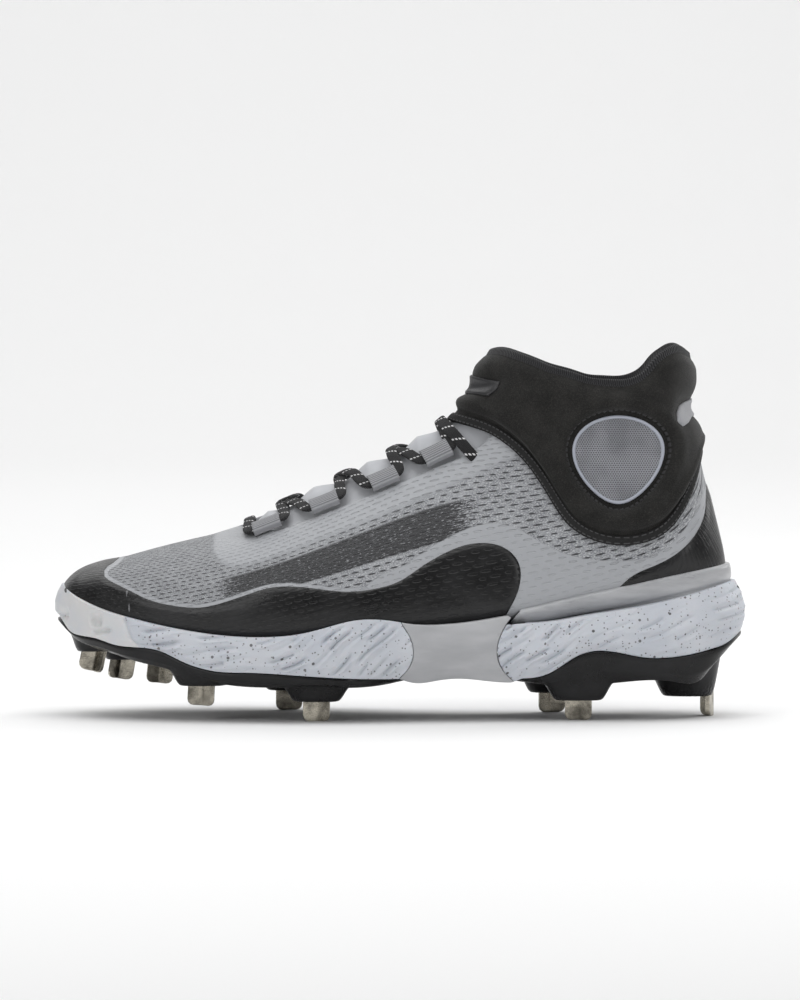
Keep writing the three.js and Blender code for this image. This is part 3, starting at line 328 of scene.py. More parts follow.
def trimmed_grid(along, across, keeps):
    """A grid over (along, across), cut where any of the levels in keeps rises through zero."""
    bm = bmesh.new()
    bmesh.ops.create_grid(bm, x_segments=len(along) - 1, y_segments=len(across) - 1, size=1)
    for v in bm.verts:
        v.co.x = along[round((v.co.x + 1) / 2 * (len(along) - 1))]
        v.co.y = across[round((v.co.y + 1) / 2 * (len(across) - 1))]
    for level in keeps:
        bm.verts.ensure_lookup_table()
        bm.verts.index_update()
        co = np.array([v.co for v in bm.verts])
        value = level(co[:, 0], co[:, 1])
        value[np.abs(value) < 0.02] = 0
        edges = [e for e in bm.edges if value[e.verts[0].index] * value[e.verts[1].index] < 0]
        outside = [v for v, out in zip(bm.verts, value > 0) if out]
        on_line = [v for v, zero in zip(bm.verts, value == 0) if zero]
        if edges:
            a = np.array([e.verts[0].index for e in edges])
            b = np.array([e.verts[1].index for e in edges])
            low, high = np.zeros(len(a)), np.ones(len(a))
            for _ in range(12):
                t = (low + high) / 2
                here = co[a] + (co[b] - co[a]) * t[:, None]
                same = level(here[:, 0], here[:, 1]) * value[a] > 0
                low, high = np.where(same, t, low), np.where(same, high, t)
            cuts = [
                bmesh.utils.edge_split(e, e.verts[0], float(s))[1] for e, s in zip(edges, (low + high) / 2)
            ]
            bmesh.ops.connect_verts(bm, verts=cuts + on_line)
        bmesh.ops.delete(bm, geom=outside, context="VERTS")
    bm.normal_update()
    return bm


def inside_area(area, surface):
    """A level for trimmed_grid that keeps what the side view shows within a closed outline."""
    def level(f, a):
        p = surface.base(f, a)
        return signed(area, p[:, 0], p[:, 2])
    return level


def under_line(line, surface, gap=0.0):
    """A level that keeps what lies below a side-view line, to a gap short of it."""
    def level(f, a):
        p = surface.base(f, a)
        return p[:, 2] - line(p[:, 0]) + gap
    return level


def over_line(line, surface, gap=0.0):
    """A level that keeps what lies above a side-view line, to a gap short of it or, if negative, past it."""
    def level(f, a):
        p = surface.base(f, a)
        return line(p[:, 0]) + gap - p[:, 2]
    return level


def even_spacing(surface, low, high, count, across=(-0.9, -0.5, 0, 0.5, 0.9)):
    """Places along a surface that lie evenly far apart, measured at the named places across it."""
    at = np.linspace(low, high, 400)
    mean = sum(run_along(surface.base(at, np.full(400, a))) for a in across)
    return np.interp(np.linspace(0, mean[-1], count), mean, at)


def rim_inwards(bm, depths, closed=lambda x, y: False):
    """Turns a sheet's open edges inwards, in steps of depth kept in z until the sheet is laid."""
    for depth in depths:
        edges = [e for e in bm.edges if e.is_boundary and not all(closed(v.co.x, v.co.y) for v in e.verts)]
        made = bmesh.ops.extrude_edge_only(bm, edges=edges)["geom"]
        for v in made:
            if isinstance(v, bmesh.types.BMVert):
                v.co.z = -depth


def lay(bm, surface, rise, weld=True, marks=None):
    """Lays a flat sheet on a surface: rise gives each vertex its height, marks what its material reads."""
    co = np.array([v.co for v in bm.verts])
    base = surface.base(co[:, 0], co[:, 1])
    height = rise(base, co[:, 0], co[:, 1]) if callable(rise) else np.full(len(co), float(rise))
    placed = (base + surface.normal(co[:, 0], co[:, 1]) * (height + co[:, 2])[:, None]) * MM
    for name, value in (marks or {}).items():
        layer = bm.verts.layers.float.get(name) or bm.verts.layers.float.new(name)
        values = value(base, co[:, 0], co[:, 1])
        for v, number in zip(bm.verts, values):
            v[layer] = number
    for v, where in zip(bm.verts, placed):
        v.co = where
    if weld:
        bmesh.ops.remove_doubles(bm, verts=bm.verts, dist=2e-6)
    bmesh.ops.recalc_face_normals(bm, faces=bm.faces)
    middle = Vector((0, 0, 0.05))
    facing = sum(f.normal.dot(f.calc_center_median() - middle) * f.calc_area() for f in bm.faces)
    if facing < 0:
        bmesh.ops.reverse_faces(bm, faces=bm.faces)
    for f in bm.faces:
        f.smooth = True
    return bm


def on_weld(x, y):
    return abs(y) > 0.9999


class Recipe:
    """Adds nodes to a material or a node group, one short line each."""

    def __init__(self, tree):
        self.tree = tree

    def add(self, kind, inputs=None, out=0, **settings):
        made = self.tree.nodes.new(kind)
        for name, value in settings.items():
            setattr(made, name, value)
        for name, value in (inputs or {}).items():
            if isinstance(value, bpy.types.NodeSocket):
                self.tree.links.new(value, made.inputs[name])
            else:
                made.inputs[name].default_value = value
        return made.outputs[out]

    def math(self, operation, a, b=0.0, c=0.0):
        return self.add("ShaderNodeMath", {0: a, 1: b, 2: c}, operation=operation)

    def step(self, value, low, high, to_low=0.0, to_high=1.0):
        """Rises smoothly from to_low to to_high between low and high."""
        inputs = {0: value, 1: low, 2: high, 3: to_low, 4: to_high}
        return self.add("ShaderNodeMapRange", inputs, interpolation_type="SMOOTHSTEP")

    def off(self, value, middle):
        """How far a value lies from middle, either way."""
        return self.math("ABSOLUTE", self.math("SUBTRACT", value, middle))

    def length(self, x, y):
        return self.math("SQRT", self.math("ADD", self.math("POWER", x, 2.0), self.math("POWER", y, 2.0)))

    def mix(self, factor, a, b, blend="MIX"):
        made = self.tree.nodes.new("ShaderNodeMix")
        made.data_type = "RGBA"
        made.blend_type = blend
        for place, value in ((0, factor), (6, a), (7, b)):
            if isinstance(value, bpy.types.NodeSocket):
                self.tree.links.new(value, made.inputs[place])
            else:
                made.inputs[place].default_value = value
        return made.outputs[2]

    def attribute(self, name):
        return self.add("ShaderNodeAttribute", out=2, attribute_name=name)

    def place(self):
        """The piece's own coordinates, in millimetres."""
        coords = self.add("ShaderNodeTexCoord", out=3)
        return self.add("ShaderNodeVectorMath", {0: coords, 1: (1000, 1000, 1000)}, operation="MULTIPLY")

    def noise(self, vector, scale, detail=2.0, roughness=0.5):
        """Noise whose spots are about 1 / scale wide."""
        inputs = {"Vector": vector, "Scale": scale, "Detail": detail, "Roughness": roughness}
        return self.add("ShaderNodeTexNoise", inputs)

    def stretch(self, vector, by):
        return self.add("ShaderNodeVectorMath", {0: vector, 1: by}, operation="MULTIPLY")

    def joined(self, x, y, z=0.0):
        return self.add("ShaderNodeCombineXYZ", {0: x, 1: y, 2: z})

    def bump(self, height, depth, normal=None):
        """Bump from a height of 0 to 1, depth millimetres deep."""
        inputs = {"Height": height, "Distance": depth * MM, "Strength": 1.0}
        if normal is not None:
            inputs["Normal"] = normal
        return self.add("ShaderNodeBump", inputs)

    def group(self, tree, inputs):
        made = self.tree.nodes.new("ShaderNodeGroup")
        made.node_tree = tree
        for name, value in inputs.items():
            if isinstance(value, bpy.types.NodeSocket):
                self.tree.links.new(value, made.inputs[name])
            else:
                made.inputs[name].default_value = value
        return made.outputs


def new_material(name, **fixed):
    """A material and its recipe; fixed values go on the shader's own sockets."""
    material = bpy.data.materials.new(name)
    material.use_nodes = True
    shader = material.node_tree.nodes["Principled BSDF"]
    for socket, value in fixed.items():
        shader.inputs[socket.replace("_", " ")].default_value = value
    return material, Recipe(material.node_tree)


def feed(material, **sockets):
    shader = material.node_tree.nodes["Principled BSDF"]
    for name, value in sockets.items():
        material.node_tree.links.new(value, shader.inputs[name.replace("_", " ")])


def new_group(name, inputs, outputs):
    """A node group with float inputs and outputs, its recipe and its two end nodes."""
    tree = bpy.data.node_groups.new(name, "ShaderNodeTree")
    for socket, default in inputs.items():
        kind = "NodeSocketVector" if default is None else "NodeSocketFloat"
        made = tree.interface.new_socket(socket, in_out="INPUT", socket_type=kind)
        if default is not None:
            made.default_value = default
    for socket in outputs:
        tree.interface.new_socket(socket, in_out="OUTPUT", socket_type="NodeSocketFloat")
    start = tree.nodes.new("NodeGroupInput")
    end = tree.nodes.new("NodeGroupOutput")
    return tree, Recipe(tree), start.outputs, end.inputs


# Staggered slits of a jacquard knit: rows half a step apart, each slit a thin lens in its cell.
slit_group, nodes, given, gives = new_group(
    "staggered slits", {"Run": 0.0, "Row": 0.0, "Length": 0.3, "Width": 0.12}, ["Slit", "Ridge"]
)
row_number = nodes.math("FLOOR", given["Row"])
in_row = nodes.math("SUBTRACT", nodes.math("SUBTRACT", given["Row"], row_number), 0.5)
shifted = nodes.math("ADD", given["Run"], nodes.math("MULTIPLY", row_number, 0.5))
wander = nodes.add("ShaderNodeTexWhiteNoise", {"W": row_number}, noise_dimensions="1D")
shifted = nodes.math("ADD", shifted, nodes.math("MULTIPLY", wander, 0.3))
cell = nodes.math("FLOOR", shifted)
in_cell = nodes.math("SUBTRACT", nodes.math("SUBTRACT", shifted, cell), 0.5)
chance = nodes.add(
    "ShaderNodeTexWhiteNoise", {"Vector": nodes.joined(cell, row_number)}, noise_dimensions="3D"
)
size = nodes.math("MULTIPLY_ADD", chance, 0.5, 0.75)
long_way = nodes.math("DIVIDE", in_cell, nodes.math("MULTIPLY", given["Length"], size))
short_way = nodes.math("DIVIDE", in_row, given["Width"])
short_way = nodes.math("ADD", short_way, nodes.math("MULTIPLY", long_way, 0.35))
reach = nodes.length(long_way, short_way)
nodes.tree.links.new(nodes.step(reach, 1.25, 0.75), gives["Slit"])
nodes.tree.links.new(nodes.math("COSINE", nodes.math("MULTIPLY", in_row, 2 * math.pi)), gives["Ridge"])

# Upper: one knit bootie over the last, open at the throat and at the ankle. Thin film is fused over its
# eyestay, round its toe and over its lower rear, where the slits show only as soft dents.
UPPER_WALL = 2.4
CLEARANCE = 0.3
seam_line = side_line(
    [
        [0.5, 0.82], [0.577, 0.809], [0.599, 0.801], [0.64, 0.774], [0.663, 0.744], [0.685, 0.704],
        [0.707, 0.647], [0.724, 0.595], [0.74, 0.55], [0.765, 0.511], [0.793, 0.491], [0.829, 0.486],
        [0.862, 0.501], [0.89, 0.541], [0.912, 0.61], [0.923, 0.664], [0.931, 0.716], [0.95, 0.76],
        [1.0, 0.8],
    ]
)
THROAT_EDGE = [[0.294, 0.489], [0.34, 0.519], [0.381, 0.549], [0.462, 0.608], [0.543, 0.672], [0.602, 0.72]]
THROAT_FRONT = 0.27
THROAT_ROUND = 0.055
throat_x, throat_z = at_x([x for x, z in THROAT_EDGE]), at_z([z for x, z in THROAT_EDGE])
throat_places = nearest_on_last(throat_x, throat_z, -1, (4, 14))
crest_y = last.base(throat_places[:, 0], np.zeros(len(throat_places)))[:, 1]
throat_middle = spline(throat_x, crest_y)
throat_half = spline(throat_x, crest_y - last.base(throat_places[:, 0], throat_places[:, 1])[:, 1])


def open_half(x, grow=0.0):
    """Half the throat's width at x, drawn in to its round front end."""
    share = (x - at_x(THROAT_FRONT) + grow) / (THROAT_ROUND * LENGTH)
    return (throat_half(x) + grow) * np.sqrt(np.clip(share, 0, 1))


def throat_level(f, a):
    p = last.base(f, a)
    return np.where(np.abs(a) < 0.6, open_half(p[:, 0]) - np.abs(p[:, 1] - throat_middle(p[:, 0])) - 0.05, -9)


half_lengths = {
    side: np.linalg.norm(np.diff(last_points[:, ACROSS * side >= 0], axis=1), axis=2).sum(axis=1)
    for side in (-1, 1)
}


def half_length(f, a):
    return np.where(
        a < 0, np.interp(f, FINE_FANS, half_lengths[-1]), np.interp(f, FINE_FANS, half_lengths[1])
    )


def underfoot_level(f, a):
    """Rises through zero where the upper ends, a short way in under the foot."""
    p = last.base(f, a)
    keel = last.base(f, np.ones_like(f))
    under = (np.abs(a) - 0.5) * half_length(f, a) - 0.36 * half_length(f, a)
    return np.where(
        (np.abs(a) > 0.5) & (p[:, 0] < at_x(0.93)) & (p[:, 2] < keel[:, 2] + 3) & (f < 13), under, -5
    )


# The knit's rows rise a little towards the heel and draw together at the toe.
ROW_RISE = 0.16
row_pitch = spline([-140, -60, 20, 80, 150], [1.9, 2.3, 3.2, 3.5, 3.5])
steps = np.linspace(-160, 160, 641)
run_of_x = np.concatenate([[0], np.cumsum(0.5 / (1.75 * row_pitch(steps[:-1])))])


def unrolled(f, a):
    """Height of a point, measured along the section rather than straight up."""
    f, a = np.asarray(f, float), np.asarray(a, float)
    flank = last.base(f, np.where(a < 0, -0.5, 0.5))
    return flank[..., 2] - (np.abs(a) - 0.5) * half_length(f, a)


def knit_row(p, f, a):
    return (unrolled(f, a) - 20 - ROW_RISE * (p[:, 0] + 100)) / row_pitch(p[:, 0])


def knit_run(p, f, a):
    return np.interp(p[:, 0] + 0.25 * (unrolled(f, a) - 60), steps, run_of_x)


GUARD_EDGE = rounded(
    [
        [0.098, 0.55], [0.087, 0.418], [0.075, 0.402], [0.074, 0.388], [0.0825, 0.3745], [0.1085, 0.353],
        [0.139, 0.328], [0.177, 0.312], [0.2185, 0.309], [0.253, 0.3255], [0.2865, 0.347], [0.317, 0.3635],
        [0.346, 0.3665], [0.381, 0.361], [0.423, 0.353], [0.473, 0.3635], [0.5, 0.38], [0.527, 0.4125],
        [0.564, 0.453], [0.595, 0.475], [0.62, 0.48], [0.65, 0.467], [0.67, 0.429], [0.673, 0.38],
        [0.666, 0.334], [0.651, 0.28], [0.64, 0.2],
    ],
    4,
)
REAR_FILM = np.vstack(
    [
        rounded(
            [
                [0.45, 0.36], [0.472, 0.396], [0.489, 0.407], [0.525, 0.445], [0.562, 0.488],
                [0.59, 0.513], [0.616, 0.529], [0.641, 0.532], [0.674, 0.513], [0.706, 0.478],
                [0.747, 0.445], [0.779, 0.434], [0.819, 0.431], [0.851, 0.437], [0.887, 0.472],
                [0.916, 0.532], [0.938, 0.608], [0.946, 0.64],
            ],
            3,
        ),
        [[at_x(1.1), at_z(0.64)], [at_x(1.1), 0], [at_x(0.45), 0]],
    ]
)
EYESTAY_REACH = 9.5
EYESTAY = side_points([[0.262, 0.476], [0.28, 0.482]] + THROAT_EDGE + [[0.65, 0.76]])


def film_reach(p, f, a):
    """How far inside a fused film a point lies, negative on the open knit."""
    x, z = p[:, 0], p[:, 2]
    stay = 0.2 * (EYESTAY_REACH - distance_to(EYESTAY, x, z))
    toe = 1.6 - distance_to(GUARD_EDGE, x, z)
    rear = -signed(REAR_FILM, x, z)
    return np.maximum(np.maximum(stay, toe), rear)


# A band of dark heathered yarn along the rows of the flank, one width all along and thinning out at both ends
BAND_MIDDLE = 15.2
BAND_HALF = 2.9
BAND_ENDS = (-98, 52)
BAND_FADE = 34


def band_place(p, f, a):
    return (knit_row(p, f, a) - BAND_MIDDLE) / BAND_HALF


def band_end(p, f, a):
    return np.clip(np.minimum(p[:, 0] - BAND_ENDS[0], BAND_ENDS[1] - p[:, 0]) / BAND_FADE, -0.3, 1)


CREASES = [
    # x and z of its middle, half its length, half its width, slope in degrees, height in mm
    [-86, 73, 10, 3.2, 34, -0.5],
    [-76, 70, 12, 3.4, 30, 0.35],
    [-60, 62, 13, 3.0, 24, -0.4],
    [32, 121, 8, 2.6, -30, -0.8],
    [42, 114, 9, 3.2, -38, 0.5],
    [60, 84, 12, 4.0, -52, -0.45],
    [98, 68, 16, 4.0, 14, -0.35],
]


def crease_relief(p):
    relief = np.zeros(len(p))
    for x, z, long, wide, slope, height in CREASES:
        turn = math.radians(slope)
        dx, dz = p[:, 0] - x, p[:, 2] - z
        along = dx * math.cos(turn) + dz * math.sin(turn)
        over = dz * math.cos(turn) - dx * math.sin(turn)
        relief += height * np.exp(-((along / long) ** 2) - (over / wide) ** 2)
    return relief


FUSED_FILM = 0.25


def upper_relief(p, f, a):
    """Film stands a hair over the knit, and the eyestay is pressed flat."""
    return crease_relief(p) + FUSED_FILM * (smooth(-0.4, 0.6, film_reach(p, f, a)) - 1)


def upper_sheet(length_steps, round_steps):
    along = np.concatenate([[0], even_spacing(last, 0.12, 19, length_steps)])
    keeps = [under_line(seam_line, last), throat_level, underfoot_level]
    return trimmed_grid(along, np.linspace(-1, 1, round_steps), keeps)


knit, nodes = new_material("jacquard knit", Roughness=0.82, Sheen_Weight=0.25, Sheen_Roughness=0.4)
run, row, film = nodes.attribute("run"), nodes.attribute("row"), nodes.attribute("film")
slits = nodes.group(slit_group, {"Run": run, "Row": row, "Length": 0.31, "Width": 0.13})
on_film = nodes.step(film, -0.35, 0.35)
off_film = nodes.math("SUBTRACT", 1.0, on_film)
yarn = nodes.stretch(nodes.joined(run, row), (7.0, 5.0, 1.0))
fuzz = nodes.noise(yarn, 1.0, 3.0, 0.6)
zigzag = nodes.math("MULTIPLY", nodes.math("PINGPONG", nodes.math("MULTIPLY", run, 3.0), 0.5), 9.0)
chevron = nodes.math("SINE", nodes.math("ADD", nodes.math("MULTIPLY", row, 26.0), zigzag))
tone = nodes.noise(nodes.stretch(nodes.joined(run, row), (0.5, 0.35, 1.0)), 1.0, 2.0)
open_slit = nodes.math("MULTIPLY", slits["Slit"], off_film)
heather = nodes.noise(nodes.stretch(nodes.joined(run, row), (2.2, 6.5, 1.0)), 1.0, 2.0, 0.65)
band = nodes.attribute("band")
ends = nodes.step(nodes.attribute("band_end"), 0.0, 1.0, 0.95, 0.36)
dark_yarn = nodes.step(nodes.math("SUBTRACT", heather, ends), -0.03, 0.05)
in_band = nodes.math("MULTIPLY", nodes.step(nodes.math("ABSOLUTE", band), 1.05, 0.9), dark_yarn)
in_band = nodes.math("MULTIPLY", in_band, off_film)
grey = nodes.mix(nodes.step(tone, 0.35, 0.65), (0.22, 0.228, 0.245, 1), (0.31, 0.32, 0.34, 1))
grey = nodes.mix(nodes.math("MULTIPLY", nodes.step(fuzz, 0.42, 0.68), off_film), grey, (0.58, 0.59, 0.61, 1))
grey = nodes.mix(on_film, grey, (0.35, 0.36, 0.38, 1))
grey = nodes.mix(nodes.math("MULTIPLY", in_band, 0.93), grey, (0.028, 0.028, 0.03, 1))
colour = nodes.mix(nodes.math("MULTIPLY", open_slit, 0.88), grey, (0.03, 0.03, 0.034, 1))
depth = nodes.math("ADD", nodes.math("MULTIPLY", slits["Ridge"], 0.22), nodes.math("MULTIPLY", fuzz, 0.62))
depth = nodes.math("ADD", depth, nodes.math("MULTIPLY", chevron, 0.16))
depth = nodes.math("MULTIPLY", depth, off_film)
dent = nodes.math("MULTIPLY", slits["Slit"], nodes.step(film, -0.35, 6.0, 1.0, 0.3))
depth = nodes.math("SUBTRACT", depth, dent)
rough = nodes.step(film, -0.35, 0.35, 0.85, 0.5)
feed(knit, Base_Color=colour, Roughness=rough, Normal=nodes.bump(depth, 0.6))
sheet = upper_sheet(230, 171)
rim_inwards(sheet, [0.5, UPPER_WALL], on_weld)
lay(sheet, last, upper_relief, marks={
    "run": knit_run, "row": knit_row, "film": film_reach, "band": band_place, "band_end": band_end,
})
upper = add_object("knit_upper", sheet, knit)
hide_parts("upper")
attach(upper, "root")

# Lining: a dark brushed sock glued inside the knit.
sock, nodes = new_material("brushed lining", Roughness=0.95, Sheen_Weight=0.4)
fleece = nodes.noise(nodes.place(), 1.4, 3.0)
feed(
    sock,
    Base_Color=nodes.mix(fleece, (0.012, 0.012, 0.013, 1), (0.03, 0.03, 0.032, 1)),
    Normal=nodes.bump(fleece, 0.4),
)
sheet = upper_sheet(120, 101)
lay(sheet, last, -UPPER_WALL)
bmesh.ops.reverse_faces(sheet, faces=sheet.faces)
lining = add_object("lining", sheet, sock)
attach(lining, "root")

# Black film: a glossy skin fused over the knit, one piece round the toe and along the flank and one round the
# heel. Its edges are rolled nearly flush, and it carries the wrinkles of the knit beneath.
GUARD_FILM = 0.5
FILM_SEAT = 0.12
BUMPER_TUCK = 4.0  # how far the toe film reaches down behind the bumper
RAIL_TUCK = 2.0  # and the heel film behind the rail
bumper_top = side_line(
    [
        [-0.03, 0.372], [0.012, 0.35], [0.03, 0.333], [0.067, 0.301], [0.11, 0.278], [0.16, 0.2575],
        [0.218, 0.24], [0.269, 0.232], [0.313, 0.232], [0.356, 0.24], [0.4, 0.26], [0.435, 0.276],
        [0.465, 0.279], [0.493, 0.274], [0.515, 0.267], [0.56, 0.264], [0.6, 0.27], [0.645, 0.283],
        [0.7, 0.3], [0.8, 0.33], [1.04, 0.4],
    ]
)
rail_top = side_line(
    [
        [-0.04, 0.05], [0.6, 0.2725], [0.663, 0.297], [0.732, 0.327], [0.82, 0.3625], [0.906, 0.397],
        [0.973, 0.418], [1.04, 0.435],
    ]
)
GUARD_AREA = np.vstack([GUARD_EDGE, [[at_x(0.6), 0], [at_x(-0.1), 0], [at_x(-0.1), at_z(0.55)]]])
COUNTER_AREA = np.vstack([rounded([
    [0.77, 0.26], [0.79, 0.314], [0.806, 0.342], [0.832, 0.388], [0.87, 0.421], [0.9, 0.453], [0.925, 0.5],
    [0.941, 0.573], [0.945, 0.635], [1.02, 0.65],
], 4), [[at_x(1.1), at_z(0.6)], [at_x(1.1), 0], [at_x(0.77), 0]]])


guard_level = inside_area(GUARD_AREA, last)
counter_level = inside_area(COUNTER_AREA, last)


def film_rise(level):
    def rise(p, f, a):
        return FILM_SEAT + GUARD_FILM * smooth(0, 2.2, -level(f, a)) + crease_relief(p)
    return rise


TOE_SEAM = np.array([[-117.2, 55.5], [-116.6, 51.5], [-115.8, 47.0]])
HEEL_SEAM = np.array([[102.2, 70.2], [102.6, 63.4]])


def film_seam(p, f, a):
    x, z = p[:, 0], p[:, 2]
    return np.minimum(distance_to(TOE_SEAM, x, z), distance_to(HEEL_SEAM, x, z))


film, nodes = new_material(
    "black film", Roughness=0.3, Specular_IOR_Level=0.35, Coat_Weight=0.15, Coat_Roughness=0.2
)
run, row = nodes.attribute("run"), nodes.attribute("row")
slits = nodes.group(slit_group, {"Run": run, "Row": row, "Length": 0.34, "Width": 0.2})
wrinkle = nodes.noise(nodes.stretch(nodes.joined(run, row), (0.7, 1.3, 1.0)), 1.0, 3.0, 0.6)
smear = nodes.noise(nodes.place(), 0.045, 4.0, 0.6)
grain = nodes.noise(nodes.place(), 1.6, 2.0)
depth = nodes.math(
    "SUBTRACT", nodes.math("MULTIPLY", wrinkle, 0.7), nodes.math("MULTIPLY", slits["Slit"], 0.32)
)
depth = nodes.math("ADD", depth, nodes.math("MULTIPLY", grain, 0.07))
colour = nodes.mix(nodes.step(smear, 0.45, 0.75), (0.005, 0.005, 0.0055, 1), (0.011, 0.011, 0.012, 1))
colour = nodes.mix(nodes.step(nodes.attribute("seam"), 0.5, 0.25), colour, (0.16, 0.16, 0.17, 1))
feed(
    film,
    Base_Color=colour,
    Roughness=nodes.step(smear, 0.3, 0.7, 0.26, 0.44),
    Normal=nodes.bump(depth, 0.4),
)

sheet = trimmed_grid(
    np.concatenate([[0], even_spacing(last, 0.12, 11.5, 190)]),
    np.linspace(-1, 1, 201),
    [guard_level, over_line(bumper_top, last, -BUMPER_TUCK)],
)
rim_inwards(sheet, [0.6], on_weld)
lay(sheet, last, film_rise(guard_level), marks={"run": knit_run, "row": knit_row, "seam": film_seam})
guard = add_object("toe_film", sheet, film)
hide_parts("toe_guard")
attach(guard, "root")

sheet = trimmed_grid(
    even_spacing(last, 9, 18, 130, across=(0.7, 1)),
    np.linspace(0.45, 1.55, 171),
    [counter_level, over_line(rail_top, last, -RAIL_TUCK)],
)
rim_inwards(sheet, [0.6])
lay(sheet, last, film_rise(counter_level), marks={"run": knit_run, "row": knit_row, "seam": film_seam})
counter = add_object("heel_film", sheet, film)
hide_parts("heel_counter")
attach(counter, "root")

# Collar: a thick foam roll in brushed black cloth, sewn to the knit all round the ankle and turned over its
# top edge. It sinks in a fold in front, at the heel tendon behind, and round each ankle window.
COLLAR_PAD = 3.4
COLLAR_INSIDE = 5.0
WINDOW = {"x": 0.8133, "z": 0.703, "half_width": 0.0637, "half_height": 0.1195}
top_line = side_line(
    [
        [0.5, 0.955], [0.6, 0.967], [0.624, 0.985], [0.645, 0.993], [0.667, 0.9825], [0.689, 0.969],
        [0.711, 0.951], [0.732, 0.94], [0.776, 0.916], [0.799, 0.911], [0.822, 0.911], [0.845, 0.925],
        [0.857, 0.945], [0.868, 0.97], [0.88, 0.989], [0.892, 1.0], [0.903, 1.0], [0.915, 0.986],
        [0.96, 0.93],
    ]
)


def window_outline(angle, grow=0.0):
    """A guitar-pick outline, wide above and narrow below, as side-view x and z."""
    rise = np.sin(angle)
    width = LENGTH * WINDOW["half_width"] * (1 + 0.22 * rise - 0.06 * rise**2) + grow
    return (
        at_x(WINDOW["x"]) + width * np.cos(angle),
        at_z(WINDOW["z"]) + (HEIGHT * WINDOW["half_height"] + grow) * rise,
    )


WINDOW_EDGE = np.stack(window_outline(np.linspace(0, 2 * math.pi, 73)[:-1]), axis=1)
BELLOWS = {"x": 0.611, "z": 0.89, "half_height": 3.6, "slope": 0.3, "depth": 3.6}
WAIST = {"z": 0.838, "half_height": 6.0, "depth": 4.8}
DISH_DEPTH = 2.4


def collar_pad(p):
    x, z = p[..., 0], p[..., 2]
    from_seam = smooth(0, 9, z - seam_line(x))
    from_top = smooth(-1, 7, top_line(x) - z)
    front = 1 - smooth(at_x(0.62), at_x(0.68), x)
    back = smooth(at_x(0.88), at_x(0.915), x)
    fold = (z - at_z(BELLOWS["z"]) - BELLOWS["slope"] * (x - at_x(BELLOWS["x"]))) / BELLOWS["half_height"]
    waist = (z - at_z(WAIST["z"])) / WAIST["half_height"]
    reach = np.hypot(
        (x - at_x(WINDOW["x"])) / (LENGTH * WINDOW["half_width"]),
        (z - at_z(WINDOW["z"])) / (HEIGHT * WINDOW["half_height"]),
    )
    hollows = (
        front * BELLOWS["depth"] * np.exp(-fold * fold)
        + back * WAIST["depth"] * np.exp(-waist * waist)
        + DISH_DEPTH * (1 - smooth(0.95, 1.3, reach))
    )
    return 0.5 + (COLLAR_PAD - 0.5) * np.minimum(from_seam, from_top) - hollows


def fan_where(line, first_fan=8):
    """For each place across the form, the last fan that still lies below a side-view line."""
    fans = FINE_FANS >= first_fan
    part = last_points[fans]
    over = part[..., 2] - line(part[..., 0])
    found = []
    for j in range(len(ACROSS)):
        i = np.where(over[:, j] < 0)[0][-1]
        i = min(i, len(over) - 2)
        t = over[i, j] / (over[i, j] - over[i + 1, j])
        found.append(mix(FINE_FANS[fans][i], FINE_FANS[fans][i + 1], min(max(t, 0), 1)))
    return np.array(found)


seam_fan, top_fan = fan_where(seam_line), fan_where(top_line)
COLLAR_TURNS = np.linspace(0, 2.2, 241)


def collar_table():
    """Points of the collar: up its outside (0 to 1), over its lip (to 1.2) and down its inside (to 2.2)."""
    u, a = np.meshgrid(COLLAR_TURNS, ACROSS, indexing="ij")
    seam, top = np.broadcast_to(seam_fan, u.shape), np.broadcast_to(top_fan, u.shape)
    share = np.clip(np.where(u < 1, u, np.where(u < 1.2, 1, 2.2 - u)), 0, 1)
    f = mix(seam, top, share)
    lip = np.clip((u - 1) / 0.2, 0, 1)
    base, normal = last.base(f, a), last.normal(f, a)
    pad = collar_pad(base)
    inside = -1.6 - (COLLAR_INSIDE - 1.6) * smooth(-1, 7, top_line(base[..., 0]) - base[..., 2])
    rise = np.where(u < 1, pad, np.where(u < 1.2, mix(pad, inside, (1 - np.cos(math.pi * lip)) / 2), inside))
    upward = last.base(np.minimum(f + 0.05, LAST_FAN), a) - base
    upward /= np.maximum(np.linalg.norm(upward, axis=2, keepdims=True), 1e-9)
    over = 1.3 * np.sin(math.pi * lip) * (u >= 1)
    return base + normal * rise[..., None] + upward * over[..., None], base


collar_points, collar_base = collar_table()
collar_surface = Surface(COLLAR_TURNS, ACROSS, collar_points)


def from_top(p, u, a):
    """Millimetres from the collar's top edge, down its outside (positive) or its inside (negative)."""
    base = collar_surface.read(collar_base, u, a)
    down = np.maximum(top_line(base[:, 0]) - base[:, 2], 0)
    return np.where(u <= 1, down, np.where(u < 1.2, (1.1 - u) * 10, -down))


def from_window(p, u, a):
    base = collar_surface.read(collar_base, u, a)
    return np.where(u < 1, signed(WINDOW_EDGE, base[:, 0], base[:, 2]), 30)


def from_seam(p, u, a):
    base = collar_surface.read(collar_base, u, a)
    return np.where(u < 1, base[:, 2] - seam_line(base[:, 0]), 30)


COLLAR_LINES = [
    # measured from the window, the seam or the top; how far off, half its width and its height
    ["window", 1.3, 1.0, -1.7],
    ["window", 6.0, 2.8, 1.1],
    ["seam", 3.4, 1.2, -0.8],
    ["seam", 7.5, 2.6, 0.7],
    ["top", 1.8, 0.6, -0.3],
]
WINDOW_BED = 2.2
CLOTH_PULL = 0.22


